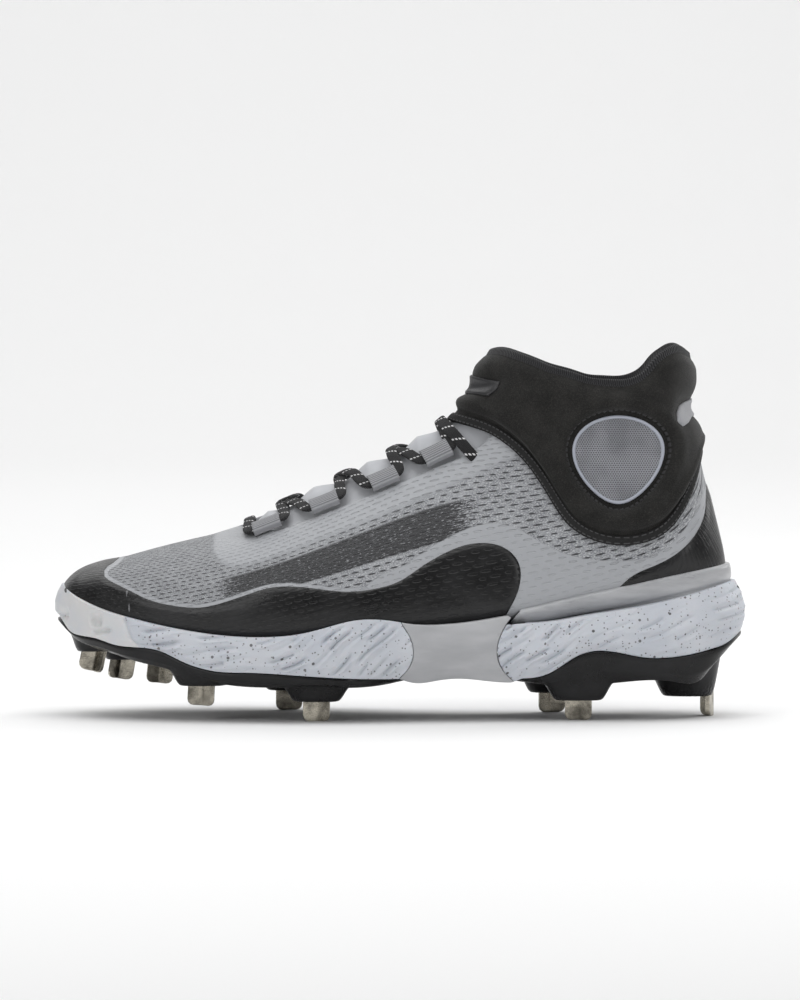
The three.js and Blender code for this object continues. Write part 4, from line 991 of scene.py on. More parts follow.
def collar_relief(p, u, a):
    """Sewn grooves and soft rolls round each window and along the seam, and the panel's bed pressed in."""
    off = {"window": from_window(p, u, a), "seam": from_seam(p, u, a), "top": from_top(p, u, a)}
    relief = sum(
        height * np.exp(-(((off[line] - at) / wide) ** 2)) for line, at, wide, height in COLLAR_LINES
    )
    bed = WINDOW_BED * (1 - smooth(-2.5, 0.0, off["window"]))
    pull = CLOTH_PULL * np.sin(p[:, 0] * 0.33 + p[:, 2] * 0.21) * np.sin(p[:, 2] * 0.27 - p[:, 0] * 0.12)
    return relief + pull * smooth(4, 10, off["window"]) * smooth(2, 8, off["seam"]) - bed


cuff, nodes = new_material(
    "brushed cuff cloth", Roughness=0.8, Specular_IOR_Level=0.2, Sheen_Weight=0.12, Sheen_Roughness=0.5
)
top = nodes.attribute("top")
place = nodes.place()
grain = nodes.noise(place, 2.1, 3.0, 0.7)
tone = nodes.noise(place, 0.11, 3.0)
slant = nodes.math(
    "ADD", nodes.math("MULTIPLY", nodes.attribute("run"), 5.5), nodes.math("MULTIPLY", top, 3.0)
)
rib = nodes.math("MULTIPLY_ADD", nodes.math("SINE", slant), 0.5, 0.5)
lined = nodes.step(top, 1.8, 1.5)
colour = nodes.mix(nodes.step(grain, 0.4, 0.72), (0.006, 0.006, 0.0058, 1), (0.026, 0.0245, 0.0225, 1))
colour = nodes.mix(nodes.step(tone, 0.3, 0.7), colour, (0.008, 0.0078, 0.0072, 1), "ADD")
ribbed = nodes.mix(rib, (0.008, 0.008, 0.009, 1), (0.04, 0.04, 0.043, 1))
colour = nodes.mix(lined, colour, ribbed)
stitch = nodes.math("FRACT", nodes.math("MULTIPLY", nodes.attribute("window_run"), 0.45))
on_row = nodes.step(nodes.off(nodes.attribute("window"), 1.9), 0.5, 0.3)
stitch = nodes.math("MULTIPLY", nodes.step(nodes.off(stitch, 0.5), 0.34, 0.26), on_row)
colour = nodes.mix(stitch, colour, (0.045, 0.045, 0.047, 1))
depth = nodes.mix(lined, nodes.math("MULTIPLY", grain, 0.5), rib)
depth = nodes.math("ADD", depth, nodes.math("MULTIPLY", stitch, 0.8))
feed(cuff, Base_Color=colour, Normal=nodes.bump(depth, 0.32))


def run_round(p, u, a):
    return np.asarray(a) * 150


def window_run(p, u, a):
    base = collar_surface.read(collar_base, u, a)
    turn = np.arctan2(base[:, 2] - at_z(WINDOW["z"]), base[:, 0] - at_x(WINDOW["x"]))
    return turn * 20


sheet = bmesh.new()
bmesh.ops.create_grid(sheet, x_segments=120, y_segments=380, size=1)
for v in sheet.verts:
    v.co.x = (v.co.x + 1) * 1.1
lay(sheet, collar_surface, collar_relief, marks={
    "top": from_top, "window": from_window, "run": run_round, "window_run": window_run,
})
collar = add_object("padded_collar", sheet, cuff)
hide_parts("collar")
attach(collar, "root")

# Binding: a flat black tape over the seam between knit and collar, held by two rows of stitches.
TAPE_WIDTH = 4.2
TAPE_HEIGHT = 1.6
TAPE_TURNS = np.linspace(0, 2 * math.pi, 33)


def tape_table():
    a = np.broadcast_to(ACROSS, (len(TAPE_TURNS), len(ACROSS)))
    f = np.broadcast_to(seam_fan, a.shape)
    base, normal = last.base(f, a), last.normal(f, a)
    along = np.gradient(base[0], axis=0)
    along[0] = along[-1] = base[0, 1] - base[0, -2]
    along /= np.linalg.norm(along, axis=1, keepdims=True)
    wide = np.cross(normal, np.broadcast_to(along, normal.shape))
    turn = TAPE_TURNS[:, None, None]
    over = np.sign(np.cos(turn)) * np.abs(np.cos(turn)) ** 0.7 * TAPE_WIDTH / 2
    up = 0.9 + np.sign(np.sin(turn)) * np.abs(np.sin(turn)) ** 0.8 * TAPE_HEIGHT / 2
    return base + wide * over + normal * up


tape_surface = Surface(TAPE_TURNS, ACROSS, tape_table())
tape, nodes = new_material("stitched tape", Roughness=0.65, Specular_IOR_Level=0.25)
across = nodes.attribute("across")
dash = nodes.math("FRACT", nodes.math("MULTIPLY", nodes.attribute("run"), 0.5))
on_row = nodes.step(nodes.off(nodes.math("ABSOLUTE", across), 0.5), 0.2, 0.1)
thread = nodes.math("MULTIPLY", nodes.step(nodes.off(dash, 0.5), 0.36, 0.28), on_row)
weave = nodes.noise(nodes.place(), 2.4, 2.0)
colour = nodes.mix(weave, (0.006, 0.006, 0.006, 1), (0.02, 0.02, 0.02, 1))
colour = nodes.mix(thread, colour, (0.07, 0.07, 0.072, 1))
feed(
    tape,
    Base_Color=colour,
    Normal=nodes.bump(nodes.math("ADD", nodes.math("MULTIPLY", thread, 0.9), weave), 0.35),
)
sheet = bmesh.new()
bmesh.ops.create_grid(sheet, x_segments=20, y_segments=480, size=1)
for v in sheet.verts:
    v.co.x = (v.co.x + 1) * math.pi
lay(sheet, tape_surface, 0, marks={
    "across": lambda p, u, a: np.cos(u),
    "run": lambda p, u, a: np.asarray(a) * 165,
})
binding = add_object("seam_tape", sheet, tape)
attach(binding, "root")


# Ankle windows: a stiff grey mesh panel in a clear moulded rim, pressed into the collar over each ankle bone.
def find_on_last(x, z, side, fans=(2, LAST_FAN), steps=5):
    """As nearest_on_last, from a coarse start and then by Newton's way."""
    x, z = np.ravel(x), np.ravel(z)
    f_keep = np.where((FINE_FANS >= fans[0]) & (FINE_FANS <= fans[1]))[0][::5]
    a_keep = np.where((ACROSS * side > 0.01) & (np.abs(ACROSS) < 0.99))[0][::4]
    part = last_points[np.ix_(f_keep, a_keep)].reshape(-1, 3)
    miss = (part[:, 0] - x[:, None]) ** 2 + (part[:, 2] - z[:, None]) ** 2
    best = np.argmin(miss, axis=1)
    f, a = FINE_FANS[f_keep][best // len(a_keep)], ACROSS[a_keep][best % len(a_keep)]
    for _ in range(steps):
        here = last.base(f, a)
        by_f = (last.base(f + 0.02, a) - here) / 0.02
        by_a = (last.base(f, a + 0.004) - here) / 0.004
        dx, dz = x - here[:, 0], z - here[:, 2]
        det = by_f[:, 0] * by_a[:, 2] - by_f[:, 2] * by_a[:, 0]
        det = np.where(np.abs(det) < 1e-3, 1e-3, det)
        f = np.clip(f + (dx * by_a[:, 2] - dz * by_a[:, 0]) / det, *fans)
        a = np.clip(a + (by_f[:, 0] * dz - by_f[:, 2] * dx) / det, -0.999, 0.999)
    return f, a


WINDOW_RIM = 0.8
WINDOW_RIM_WIDTH = 1.4
WINDOW_SINK = 0.3
HOLE_PITCH = 1.05

hole_group, nodes, given, gives = new_group(
    "staggered holes", {"Across": 0.0, "Up": 0.0, "Size": 0.3}, ["Hole"]
)


def hole_distance(shift):
    u = nodes.math("FRACT", nodes.math("ADD", given["Across"], shift))
    v = nodes.math("FRACT", nodes.math("ADD", nodes.math("DIVIDE", given["Up"], math.sqrt(3)), shift))
    v = nodes.math("MULTIPLY", nodes.math("SUBTRACT", v, 0.5), math.sqrt(3))
    return nodes.length(nodes.math("SUBTRACT", u, 0.5), v)


nearest_hole = nodes.math(
    "DIVIDE", nodes.math("MINIMUM", hole_distance(0.0), hole_distance(0.5)), given["Size"]
)
nodes.tree.links.new(nodes.step(nearest_hole, 1.15, 0.8), gives["Hole"])

mesh_panel, nodes = new_material("ankle mesh", Roughness=0.5, Coat_Weight=0.25, Coat_Roughness=0.3)
rim = nodes.attribute("rim")
holes = nodes.group(hole_group, {
    "Across": nodes.math("DIVIDE", nodes.attribute("run"), HOLE_PITCH),
    "Up": nodes.math("DIVIDE", nodes.attribute("row"), HOLE_PITCH),
    "Size": 0.3,
})
on_rim = nodes.step(rim, WINDOW_RIM_WIDTH + 0.15, WINDOW_RIM_WIDTH - 0.15)
hole = nodes.math("MULTIPLY", holes["Hole"], nodes.math("SUBTRACT", 1.0, on_rim))
cloud = nodes.noise(nodes.place(), 0.06, 2.0)
colour = nodes.mix(nodes.step(cloud, 0.35, 0.65), (0.19, 0.195, 0.215, 1), (0.28, 0.285, 0.31, 1))
colour = nodes.mix(nodes.math("MULTIPLY", hole, 0.85), colour, (0.045, 0.045, 0.05, 1))
colour = nodes.mix(on_rim, colour, (0.36, 0.38, 0.44, 1))
rough = nodes.step(on_rim, 0.0, 1.0, 0.55, 0.28)
feed(
    mesh_panel,
    Base_Color=colour,
    Roughness=rough,
    Normal=nodes.bump(nodes.math("SUBTRACT", 1.0, hole), 0.3),
)

for side, name in ((-1, "outer"), (1, "inner")):
    sheet = bmesh.new()
    bmesh.ops.create_grid(sheet, x_segments=120, y_segments=26, size=1)
    angle = np.array([(v.co.x + 1) * math.pi for v in sheet.verts])
    ring = np.array([(v.co.y + 1) / 2 for v in sheet.verts])
    inset = np.where(ring > 0.5, (1 - ring) / 0.5 * WINDOW_RIM_WIDTH * 1.15, 0)
    edge_x, edge_z = window_outline(angle, -inset)
    low_x, low_z = window_outline(angle, -WINDOW_RIM_WIDTH * 1.15)
    share = np.clip(ring / 0.5, 0, 1)
    x = np.where(ring > 0.5, edge_x, mix(at_x(WINDOW["x"]), low_x, share))
    z = np.where(ring > 0.5, edge_z, mix(at_z(WINDOW["z"]), low_z, share))
    f, a = find_on_last(x, z, side, (8, LAST_FAN))
    for v, new_f, new_a in zip(sheet.verts, f, a):
        v.co.x, v.co.y = new_f, new_a
    from_edge = np.where(ring > 0.5, inset, 20)
    off_middle = (inset - WINDOW_RIM_WIDTH / 2) / (WINDOW_RIM_WIDTH / 2)
    bead = np.where(ring > 0.5, WINDOW_RIM * np.sqrt(np.clip(1 - off_middle**2, 0, 1)), 0)
    crown = -0.9 * (1 - share**2) + 0.5 * np.exp(-((share / 0.5) ** 2))
    over_pad = bead + crown - WINDOW_SINK
    lay(sheet, last, lambda p, f, a: collar_pad(p) + over_pad, marks={
        "rim": lambda p, f, a: from_edge,
        "run": lambda p, f, a: p[:, 0],
        "row": lambda p, f, a: p[:, 2],
    })
    window = add_object(f"ankle_window_{name}", sheet, mesh_panel)
    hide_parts(f"window_{name}")
    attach(window, "root")

# Front patch and rear strap: a bare tab of soft rubber in the fold in front, and a short smooth pill of grey
# webbing in the waist behind.
PATCH_THICKNESS = 1.1
PATCH = side_points([
    [0.5, 0.92], [0.611, 0.917], [0.648, 0.909], [0.645, 0.887], [0.634, 0.869], [0.604, 0.873], [0.5, 0.86],
])
STRAP = rounded([
    [0.893, 0.825], [0.9, 0.845], [0.912, 0.856], [1.02, 0.862], [1.02, 0.818], [0.912, 0.805], [0.9, 0.788],
    [0.893, 0.792], [0.893, 0.825],
], 3)
rubber, nodes = new_material("soft rubber", Roughness=0.45)
speck = nodes.noise(nodes.place(), 1.2, 3.0)
feed(
    rubber,
    Base_Color=nodes.mix(speck, (0.018, 0.018, 0.02, 1), (0.036, 0.036, 0.038, 1)),
    Roughness=nodes.step(speck, 0.3, 0.7, 0.36, 0.55),
    Normal=nodes.bump(speck, 0.1),
)
webbing, nodes = new_material("ribbed webbing", Roughness=0.8, Sheen_Weight=0.2)
rib = nodes.math("SINE", nodes.math("MULTIPLY", nodes.attribute("rib"), 2 * math.pi))
rib = nodes.math("MULTIPLY_ADD", rib, 0.5, 0.5)
thread = nodes.math("SINE", nodes.math("MULTIPLY", nodes.attribute("run"), 9.0))
thread = nodes.math("MULTIPLY_ADD", thread, 0.5, 0.5)
fibre = nodes.noise(nodes.place(), 2.6, 2.0)
colour = nodes.mix(rib, (0.13, 0.133, 0.145, 1), (0.36, 0.365, 0.385, 1))
colour = nodes.mix(nodes.math("MULTIPLY", fibre, 0.5), colour, (0.22, 0.222, 0.235, 1))
depth = nodes.math(
    "ADD", nodes.math("ADD", rib, nodes.math("MULTIPLY", thread, 0.22)), nodes.math("MULTIPLY", fibre, 0.3)
)
feed(webbing, Base_Color=colour, Normal=nodes.bump(depth, 0.32))


def on_collar(level):
    def rise(p, f, a):
        return collar_pad(p) + CLEARANCE + PATCH_THICKNESS * (0.35 + 0.65 * smooth(0, 0.9, -level(f, a)))
    return rise


strip = {"rib": lambda p, f, a: np.full(len(p), 0.12), "run": lambda p, f, a: p[:, 1]}
for name, node, level, across, material, slot in (
    ("front_patch", "patch_front", inside_area(PATCH, last), (-0.5, 0.5), rubber, "film"),
    ("rear_strap", "strap_rear", inside_area(STRAP, last), (0.6, 1.4), webbing, "webbing"),
):
    sheet = trimmed_grid(even_spacing(last, 12, 19.5, 120, across), np.linspace(*across, 151), [level])
    rim_inwards(sheet, [0.4, 1.2])
    lay(sheet, last, on_collar(level), marks=strip)
    tab = add_object(name, sheet, material)
    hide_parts(node)
    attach(tab, "root")

# Heel rail: a satin moulded band that locks the heel, flat above, with a groove and a round bead along its
# foot. It is cemented to the knit and stands on the heel foam.
RAIL_LIP = 2.4
RAIL_BEAD = 3.2
RAIL_DRAFT = 1.7  # its foot stands out further than its top
rail_foot = side_line([
    [-0.04, 0.21], [0.6, 0.25], [0.664, 0.264], [0.717, 0.27], [0.766, 0.285], [0.838, 0.306], [0.909, 0.333],
    [0.981, 0.364], [1.04, 0.385],
])
FORE_END = rounded([
    [0.49, 0.1], [0.502, 0.125], [0.516, 0.16], [0.519, 0.2], [0.513, 0.236], [0.502, 0.27], [0.498, 0.29],
], 4)
HEEL_START = rounded(
    [
        [0.68, 0.31], [0.664, 0.287], [0.647, 0.242], [0.64, 0.195], [0.647, 0.145], [0.666, 0.108],
        [0.69, 0.085],
    ],
    4,
)
FORE_AREA = np.vstack(
    [[[at_x(-0.1), -20]], [[at_x(0.49), -20]], FORE_END, [[at_x(0.498), HEIGHT], [at_x(-0.1), HEIGHT]]]
)
HEEL_AREA = np.vstack(
    [[[at_x(1.1), -20]], [[at_x(1.1), HEIGHT], [at_x(0.68), HEIGHT]], HEEL_START, [[at_x(0.69), -20]]]
)


def rail_share(p):
    return (p[:, 2] - rail_foot(p[:, 0])) / (rail_top(p[:, 0]) - rail_foot(p[:, 0]))


def rail_rise(p, f, a):
    v = rail_share(p)
    bead = (RAIL_BEAD - RAIL_LIP) * np.sqrt(np.clip(1 - ((v - 0.16) / 0.17) ** 2, 0, 1))
    groove = 0.6 * np.exp(-(((v - 0.36) / 0.035) ** 2))
    lip = 1.3 * (1 - smooth(0, 0.05, 1 - v)) + 1.0 * (1 - smooth(0, 0.05, v))
    return RAIL_LIP + RAIL_DRAFT * (1 - v) + bead - groove - lip


satin, nodes = new_material("satin moulded rail", Roughness=0.34, Coat_Weight=0.3, Coat_Roughness=0.25)
haze = nodes.noise(nodes.stretch(nodes.place(), (0.05, 0.05, 0.25)), 1.0, 4.0, 0.6)
grit = nodes.noise(nodes.place(), 1.8, 2.0)
feed(
    satin,
    Base_Color=nodes.mix(nodes.step(haze, 0.3, 0.7), (0.32, 0.325, 0.34, 1), (0.42, 0.425, 0.44, 1)),
    Roughness=nodes.step(haze, 0.3, 0.7, 0.26, 0.42),
    Normal=nodes.bump(grit, 0.04),
)
sheet = trimmed_grid(
    even_spacing(last, 8.6, 15.6, 230, across=(0.7, 0.85, 1)),
    np.linspace(0.5, 1.5, 300),
    [under_line(rail_top, last), over_line(rail_foot, last, CLEARANCE), inside_area(HEEL_AREA, last)],
)
rim_inwards(sheet, [1.6])
lay(sheet, last, rail_rise)
rail = add_object("heel_band", sheet, satin)
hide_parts("heel_rail")
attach(rail, "root")

# Midsole: pale speckled foam under the forefoot and the heel, its sides carved with long soft ripples.
# A plain toe bumper is moulded in front, and a plain satin bridge joins the halves under the arch.
OUTLINE = np.array([
    # share of the length, outer y, inner y
    [0, 0.075, 0.075], [0.02, -0.123, 0.255], [0.05, -0.226, 0.349], [0.1, -0.321, 0.425],
    [0.18, -0.41, 0.476], [0.27, -0.476, 0.495], [0.36, -0.509, 0.462], [0.45, -0.5, 0.396],
    [0.55, -0.462, 0.325], [0.65, -0.425, 0.292], [0.75, -0.401, 0.307], [0.85, -0.377, 0.33],
    [0.92, -0.33, 0.311], [0.97, -0.245, 0.241], [1, 0, 0],
])
plate_top = side_line(
    [
        [-0.04, 0.29], [0.004, 0.262], [0.018, 0.241], [0.064, 0.22], [0.088, 0.206], [0.124, 0.199],
        [0.157, 0.19], [0.184, 0.167], [0.21, 0.149], [0.239, 0.138], [0.28, 0.136], [0.356, 0.129],
        [0.428, 0.121], [0.491, 0.118], [0.524, 0.12], [0.56, 0.132], [0.608, 0.132], [0.65, 0.122],
        [0.686, 0.118], [0.718, 0.134], [0.753, 0.175], [0.789, 0.191], [0.813, 0.186], [0.85, 0.1725],
        [0.873, 0.17], [0.921, 0.179], [0.957, 0.194], [0.981, 0.21], [0.996, 0.228], [1.04, 0.25],
    ]
)
arch_foot = side_line(
    [
        [-0.04, 0.13], [0.5, 0.119], [0.527, 0.106], [0.556, 0.112], [0.586, 0.117], [0.615, 0.113],
        [0.645, 0.107], [0.67, 0.106], [1.04, 0.12],
    ]
)
outline_turns = np.arccos(1 - 2 * OUTLINE[:, 0])
outline_lines = {side: spline(outline_turns, OUTLINE[:, c] * BALL_WIDTH) for side, c in ((-1, 1), (1, 2))}


def outline_point(turn, side, inset):
    """The sole's edge from above, moved inwards. turn runs from 0 at the toe to pi at the heel."""
    line = outline_lines[side]

    def place(t):
        t = np.clip(t, 0, math.pi)
        return np.stack([at_x((1 - np.cos(t)) / 2), line(t)], axis=-1)

    way = place(turn + 0.01) - place(turn - 0.01)
    way /= np.maximum(np.linalg.norm(way, axis=-1, keepdims=True), 1e-9)
    out = np.stack([-way[..., 1], way[..., 0]], axis=-1) * side
    out = np.where((turn < 1e-6)[..., None], [-1.0, 0.0], out)
    out = np.where((turn > math.pi - 1e-6)[..., None], [1.0, 0.0], out)
    spot = place(turn) - out * inset[..., None]
    return spot + [0, SHIFT_Y]


def blended(row, share):
    """A value for forefoot, arch and heel, run together along the sole."""
    fore, arch, heel = row
    both = mix(fore, arch, smooth(0.42, 0.54, share))
    return mix(both, heel, smooth(0.6, 0.74, share))


def inset_along(share, height, rows):
    """The inset at a height share, from rows of height and of insets at forefoot, arch and heel."""
    heights, *insets = np.array(rows, float).T
    return blended([np.interp(height, heights, inset) for inset in insets], share)


TOE_TIP = 2.2  # how much more the foam's edge draws in at the toe's very tip
SOLE_TURNS = np.linspace(-math.pi, math.pi, 1201)
WALL = np.linspace(-0.5, 1.5, 161)


def sole_table(lower, upper, rows, lip, toe, soften=2):
    """The side of a sole: up its wall (0 to 1), with a lip turned under (to -0.5) and one turned in (to 1.5).

    toe is the part of the insets kept round the toe."""
    tau, v = np.meshgrid(SOLE_TURNS, WALL, indexing="ij")
    turn, share = np.abs(tau), (1 - np.cos(np.abs(tau))) / 2
    height = np.clip(v, 0, 1)
    inset = inset_along(share, height, rows)
    inset = inset * mix(mix(TOE_TIP, toe, smooth(0, 0.035, share)), 1, smooth(0.05, 0.16, share))
    inset = inset + lip * (np.clip(v - 1, 0, 1) + np.clip(-v, 0, 1)) * 2
    xy = np.where((tau < 0)[..., None], outline_point(turn, -1, inset), outline_point(turn, 1, inset))
    x0 = at_x(share)
    low, high = lower(x0), upper(x0)
    z = low + (high - low) * height
    points = np.concatenate([xy, z[..., None]], axis=2)
    for _ in range(soften):
        points[:, 1:-1] = (points[:, :-2] + 2 * points[:, 1:-1] + points[:, 2:]) / 4
    return points


def turn_ends(table):
    """Copies of the normals' neighbours, so that the heel's middle line is smooth."""
    surface = Surface(SOLE_TURNS, WALL, table, round=False)
    mean = surface.normals[0] + surface.normals[-1]
    mean /= np.linalg.norm(mean, axis=1, keepdims=True)
    surface.normals[0] = surface.normals[-1] = mean
    outward = surface.normals[300, 80, 1] * (surface.points[300, 80, 1] - SHIFT_Y)
    if outward < 0:
        surface.normals *= -1
    return surface


FOAM_ROWS = [[0, 1, 5, 2], [0.2, 0, 2, 0.3], [0.5, 0, 0, 0], [0.75, 0.5, 0.4, 1.6], [1, 1.4, 1.5, 4.4]]


def foam_foot(x):
    inner = smooth(at_x(0.49), at_x(0.515), x) * (1 - smooth(at_x(0.66), at_x(0.68), x))
    return mix(plate_top(x), arch_foot(x), inner)


def foam_top(x):
    return mix(bumper_top(x), rail_foot(x), smooth(at_x(0.655), at_x(0.672), x))


foam_surface = turn_ends(sole_table(foam_foot, foam_top, FOAM_ROWS, lip=9, toe=-0.3))
BUMPER_END = side_points([[0.108, 0.30], [0.104, 0.274], [0.114, 0.225], [0.13, 0.19], [0.145, 0.16]])

# Ripples of the foam's side, as rows: their slope at x, their height spacing, how long each is
RIPPLE_SLOPE = spline(
    [-150, -100, -70, -40, -15, 40, 60, 90, 130, 150],
    [0.02, 0.06, 0.2, 0.7, 0.95, 0.7, 0.75, 0.55, 0.35, 0.3],
)
ripple_x = np.linspace(-160, 160, 641)
ripple_lift = np.concatenate([[0], np.cumsum(0.5 * RIPPLE_SLOPE(ripple_x[:-1]))])
RIPPLE_PITCH = 5.4
RIPPLE_LONG = 34.0
RIPPLE_CROWN = 0.8
RIPPLE_GROOVE = 1.5
BUMPER_DENT = 2.2
LOW_DENT = 1.8
BUMPER_JOINT = 0.8


def ripple_relief(x, z, seed=0.0):
    """Long soft crowns parted by narrow grooves that start and end at their own places."""
    warp = 0.9 * np.sin(x * 0.11 + z * 0.21 + seed)
    q = (z - np.interp(x, ripple_x, ripple_lift) + warp) / RIPPLE_PITCH + seed
    ridge = np.floor(q + 0.5)
    off = q - ridge
    place = (x + 0.45 * z + 10.3 * np.sin(ridge * 2.4 + seed) + 7.9 * ridge) / RIPPLE_LONG
    there = smooth(0.05, 0.4, 0.5 + 0.5 * np.cos(2 * math.pi * place))
    strong = 0.6 + 0.4 * np.sin(ridge * 1.7 + np.floor(place) * 2.3 + seed)
    groove = np.exp(-((off / 0.1) ** 2)) + 0.3 * np.exp(-(((off + 0.16) / 0.12) ** 2))
    crown = np.sin(math.pi * off) ** 2
    return there * strong * (RIPPLE_CROWN * crown - RIPPLE_GROOVE * groove)


def bumper_place(p, s, v):
    """Millimetres behind the bumper's rear edge."""
    return p[:, 0] - np.interp(p[:, 2], BUMPER_END[::-1, 1], BUMPER_END[::-1, 0])


def foam_relief(p, s, v):
    x, z = p[:, 0], p[:, 2]
    on_wall = smooth(0.0, 0.16, v) * (1 - smooth(0.84, 1.0, v))
    back = bumper_place(p, s, v)
    speckled = smooth(0, 3, back)
    seed = np.where(np.asarray(s) < 0, 0.0, 1.9)
    ripples = ripple_relief(x, z, seed) * mix(1.0, 0.55, smooth(at_x(0.72), at_x(0.8), x))
    dents = -BUMPER_DENT * np.exp(
        -(((np.sin(x * 0.42 + seed) - 0.9) / 0.35) ** 2) - ((z - 44 - 1.6 * np.sin(x * 0.3)) / 2.4) ** 2
    )
    low_dents = -LOW_DENT * np.exp(
        -(((np.sin(x * 0.24 + 1) - 0.9) / 0.3) ** 2) - ((z - 38 - 0.2 * (x + 130)) / 1.2) ** 2
    )
    joint = -BUMPER_JOINT * np.exp(-((back / 0.7) ** 2))
    return on_wall * (speckled * ripples + (1 - speckled) * (dents + low_dents) + joint)


speckle_group, nodes, given, gives = new_group(
    "foam speckle", {"Place": None, "Spacing": 0.3, "Size": 0.12}, ["Speck"]
)
cells = nodes.tree.nodes.new("ShaderNodeTexVoronoi")
nodes.tree.links.new(given["Place"], cells.inputs["Vector"])
nodes.tree.links.new(given["Spacing"], cells.inputs["Scale"])
dice = nodes.add("ShaderNodeSeparateColor", {0: cells.outputs["Color"]})
reach = nodes.math("MULTIPLY", given["Size"], nodes.step(dice, 0.35, 1.0, 0.0, 1.6))
speck = nodes.math(
    "MULTIPLY",
    nodes.math("GREATER_THAN", reach, 0.004),
    nodes.step(nodes.math("SUBTRACT", cells.outputs["Distance"], reach), 0.02, -0.02),
)
nodes.tree.links.new(speck, gives["Speck"])

foam, nodes = new_material("speckled foam", Roughness=0.55, Subsurface_Weight=0.06, Subsurface_Scale=0.004)
place = nodes.place()
big = nodes.group(speckle_group, {"Place": place, "Spacing": 0.3, "Size": 0.13})
small = nodes.group(speckle_group, {"Place": place, "Spacing": 0.75, "Size": 0.19})
speck = nodes.math("MAXIMUM", big["Speck"], nodes.math("MULTIPLY", small["Speck"], 0.85))
speck = nodes.math("MULTIPLY", speck, nodes.step(nodes.attribute("bumper"), 0.2, 1.0))
cloud = nodes.noise(place, 0.05, 3.0)
skin = nodes.noise(place, 1.2, 3.0)
white = nodes.mix(
    nodes.step(nodes.attribute("bumper"), -0.2, 0.6), (0.62, 0.62, 0.62, 1), (0.5, 0.525, 0.575, 1)
)
white = nodes.mix(nodes.step(cloud, 0.3, 0.7), white, (0.56, 0.58, 0.62, 1))
speck_tone = nodes.mix(nodes.noise(place, 0.35, 1.0), (0.035, 0.035, 0.037, 1), (0.22, 0.22, 0.23, 1))
feed(
    foam,
    Base_Color=nodes.mix(speck, white, speck_tone),
    Roughness=nodes.step(skin, 0.3, 0.7, 0.46, 0.62),
    Normal=nodes.bump(skin, 0.08),
)
bridge, nodes = new_material("satin bridge", Roughness=0.38, Coat_Weight=0.2, Coat_Roughness=0.3)
haze = nodes.noise(nodes.stretch(nodes.place(), (0.04, 0.04, 0.12)), 1.0, 4.0)
skin = nodes.noise(nodes.place(), 1.5, 2.0)
feed(
    bridge,
    Base_Color=nodes.mix(nodes.step(haze, 0.3, 0.7), (0.36, 0.365, 0.38, 1), (0.45, 0.455, 0.47, 1)),
    Roughness=nodes.step(haze, 0.3, 0.7, 0.32, 0.46),
    Normal=nodes.bump(skin, 0.04),
)


fore_level = inside_area(FORE_AREA, foam_surface)
heel_level = inside_area(HEEL_AREA, foam_surface)


def fore_outside(s, v):
    return CLEARANCE - fore_level(s, v)


def heel_outside(s, v):
    return CLEARANCE - heel_level(s, v)


def under_rail(s, v):
    """Cuts the foam's front tip off below the rail; further back its top is the rail's foot already."""
    p = foam_surface.base(s, v)
    return np.where(p[:, 0] < at_x(0.68), p[:, 2] - rail_foot(p[:, 0]), -1)


def heel_line(x, y):
    return abs(abs(x) - math.pi) < 1e-4


def at_lip(x, y):
    """True on the heel's middle line and on the inner edges of the foam's two lips, which stay open."""
    return heel_line(x, y) or abs(y - UP_THE_WALL[0]) < 1e-4 or abs(y - UP_THE_WALL[-1]) < 1e-4


UP_THE_WALL = np.concatenate([np.linspace(-0.5, -0.06, 5), np.linspace(0, 1, 58), np.linspace(1.06, 1.5, 6)])
FORE_SPANS = [(-2.0, 2.0, 860)]
BRIDGE_SPANS = [(-2.1, -1.3, 100), (1.3, 2.1, 100)]
REAR_SPANS = [(-math.pi, -1.6, 330), (1.6, math.pi, 330)]
for name, node, spans, keeps, material, slot, relief in (
    ("foam_fore", "foam_forefoot", FORE_SPANS, [fore_level], foam, "foam", foam_relief),
    ("foam_bridge", "foam_arch", BRIDGE_SPANS, [fore_outside, heel_outside], bridge, "shank", 0),
    ("foam_rear", "foam_heel", REAR_SPANS, [heel_level, under_rail], foam, "foam", foam_relief),
):
    whole = bmesh.new()
    for low, high, count in spans:
        sheet = trimmed_grid(np.linspace(low, high, count), UP_THE_WALL, keeps)
        rim_inwards(sheet, [0.25, 1.2], at_lip)
        lay(sheet, foam_surface, relief, marks={"bumper": bumper_place})
        part = bpy.data.meshes.new("part")
        sheet.to_mesh(part)
        sheet.free()
        whole.from_mesh(part)
        bpy.data.meshes.remove(part)
    bmesh.ops.remove_doubles(whole, verts=whole.verts, dist=2e-6)
    piece = add_object(name, whole, material)
    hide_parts(node)
    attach(piece, "root")

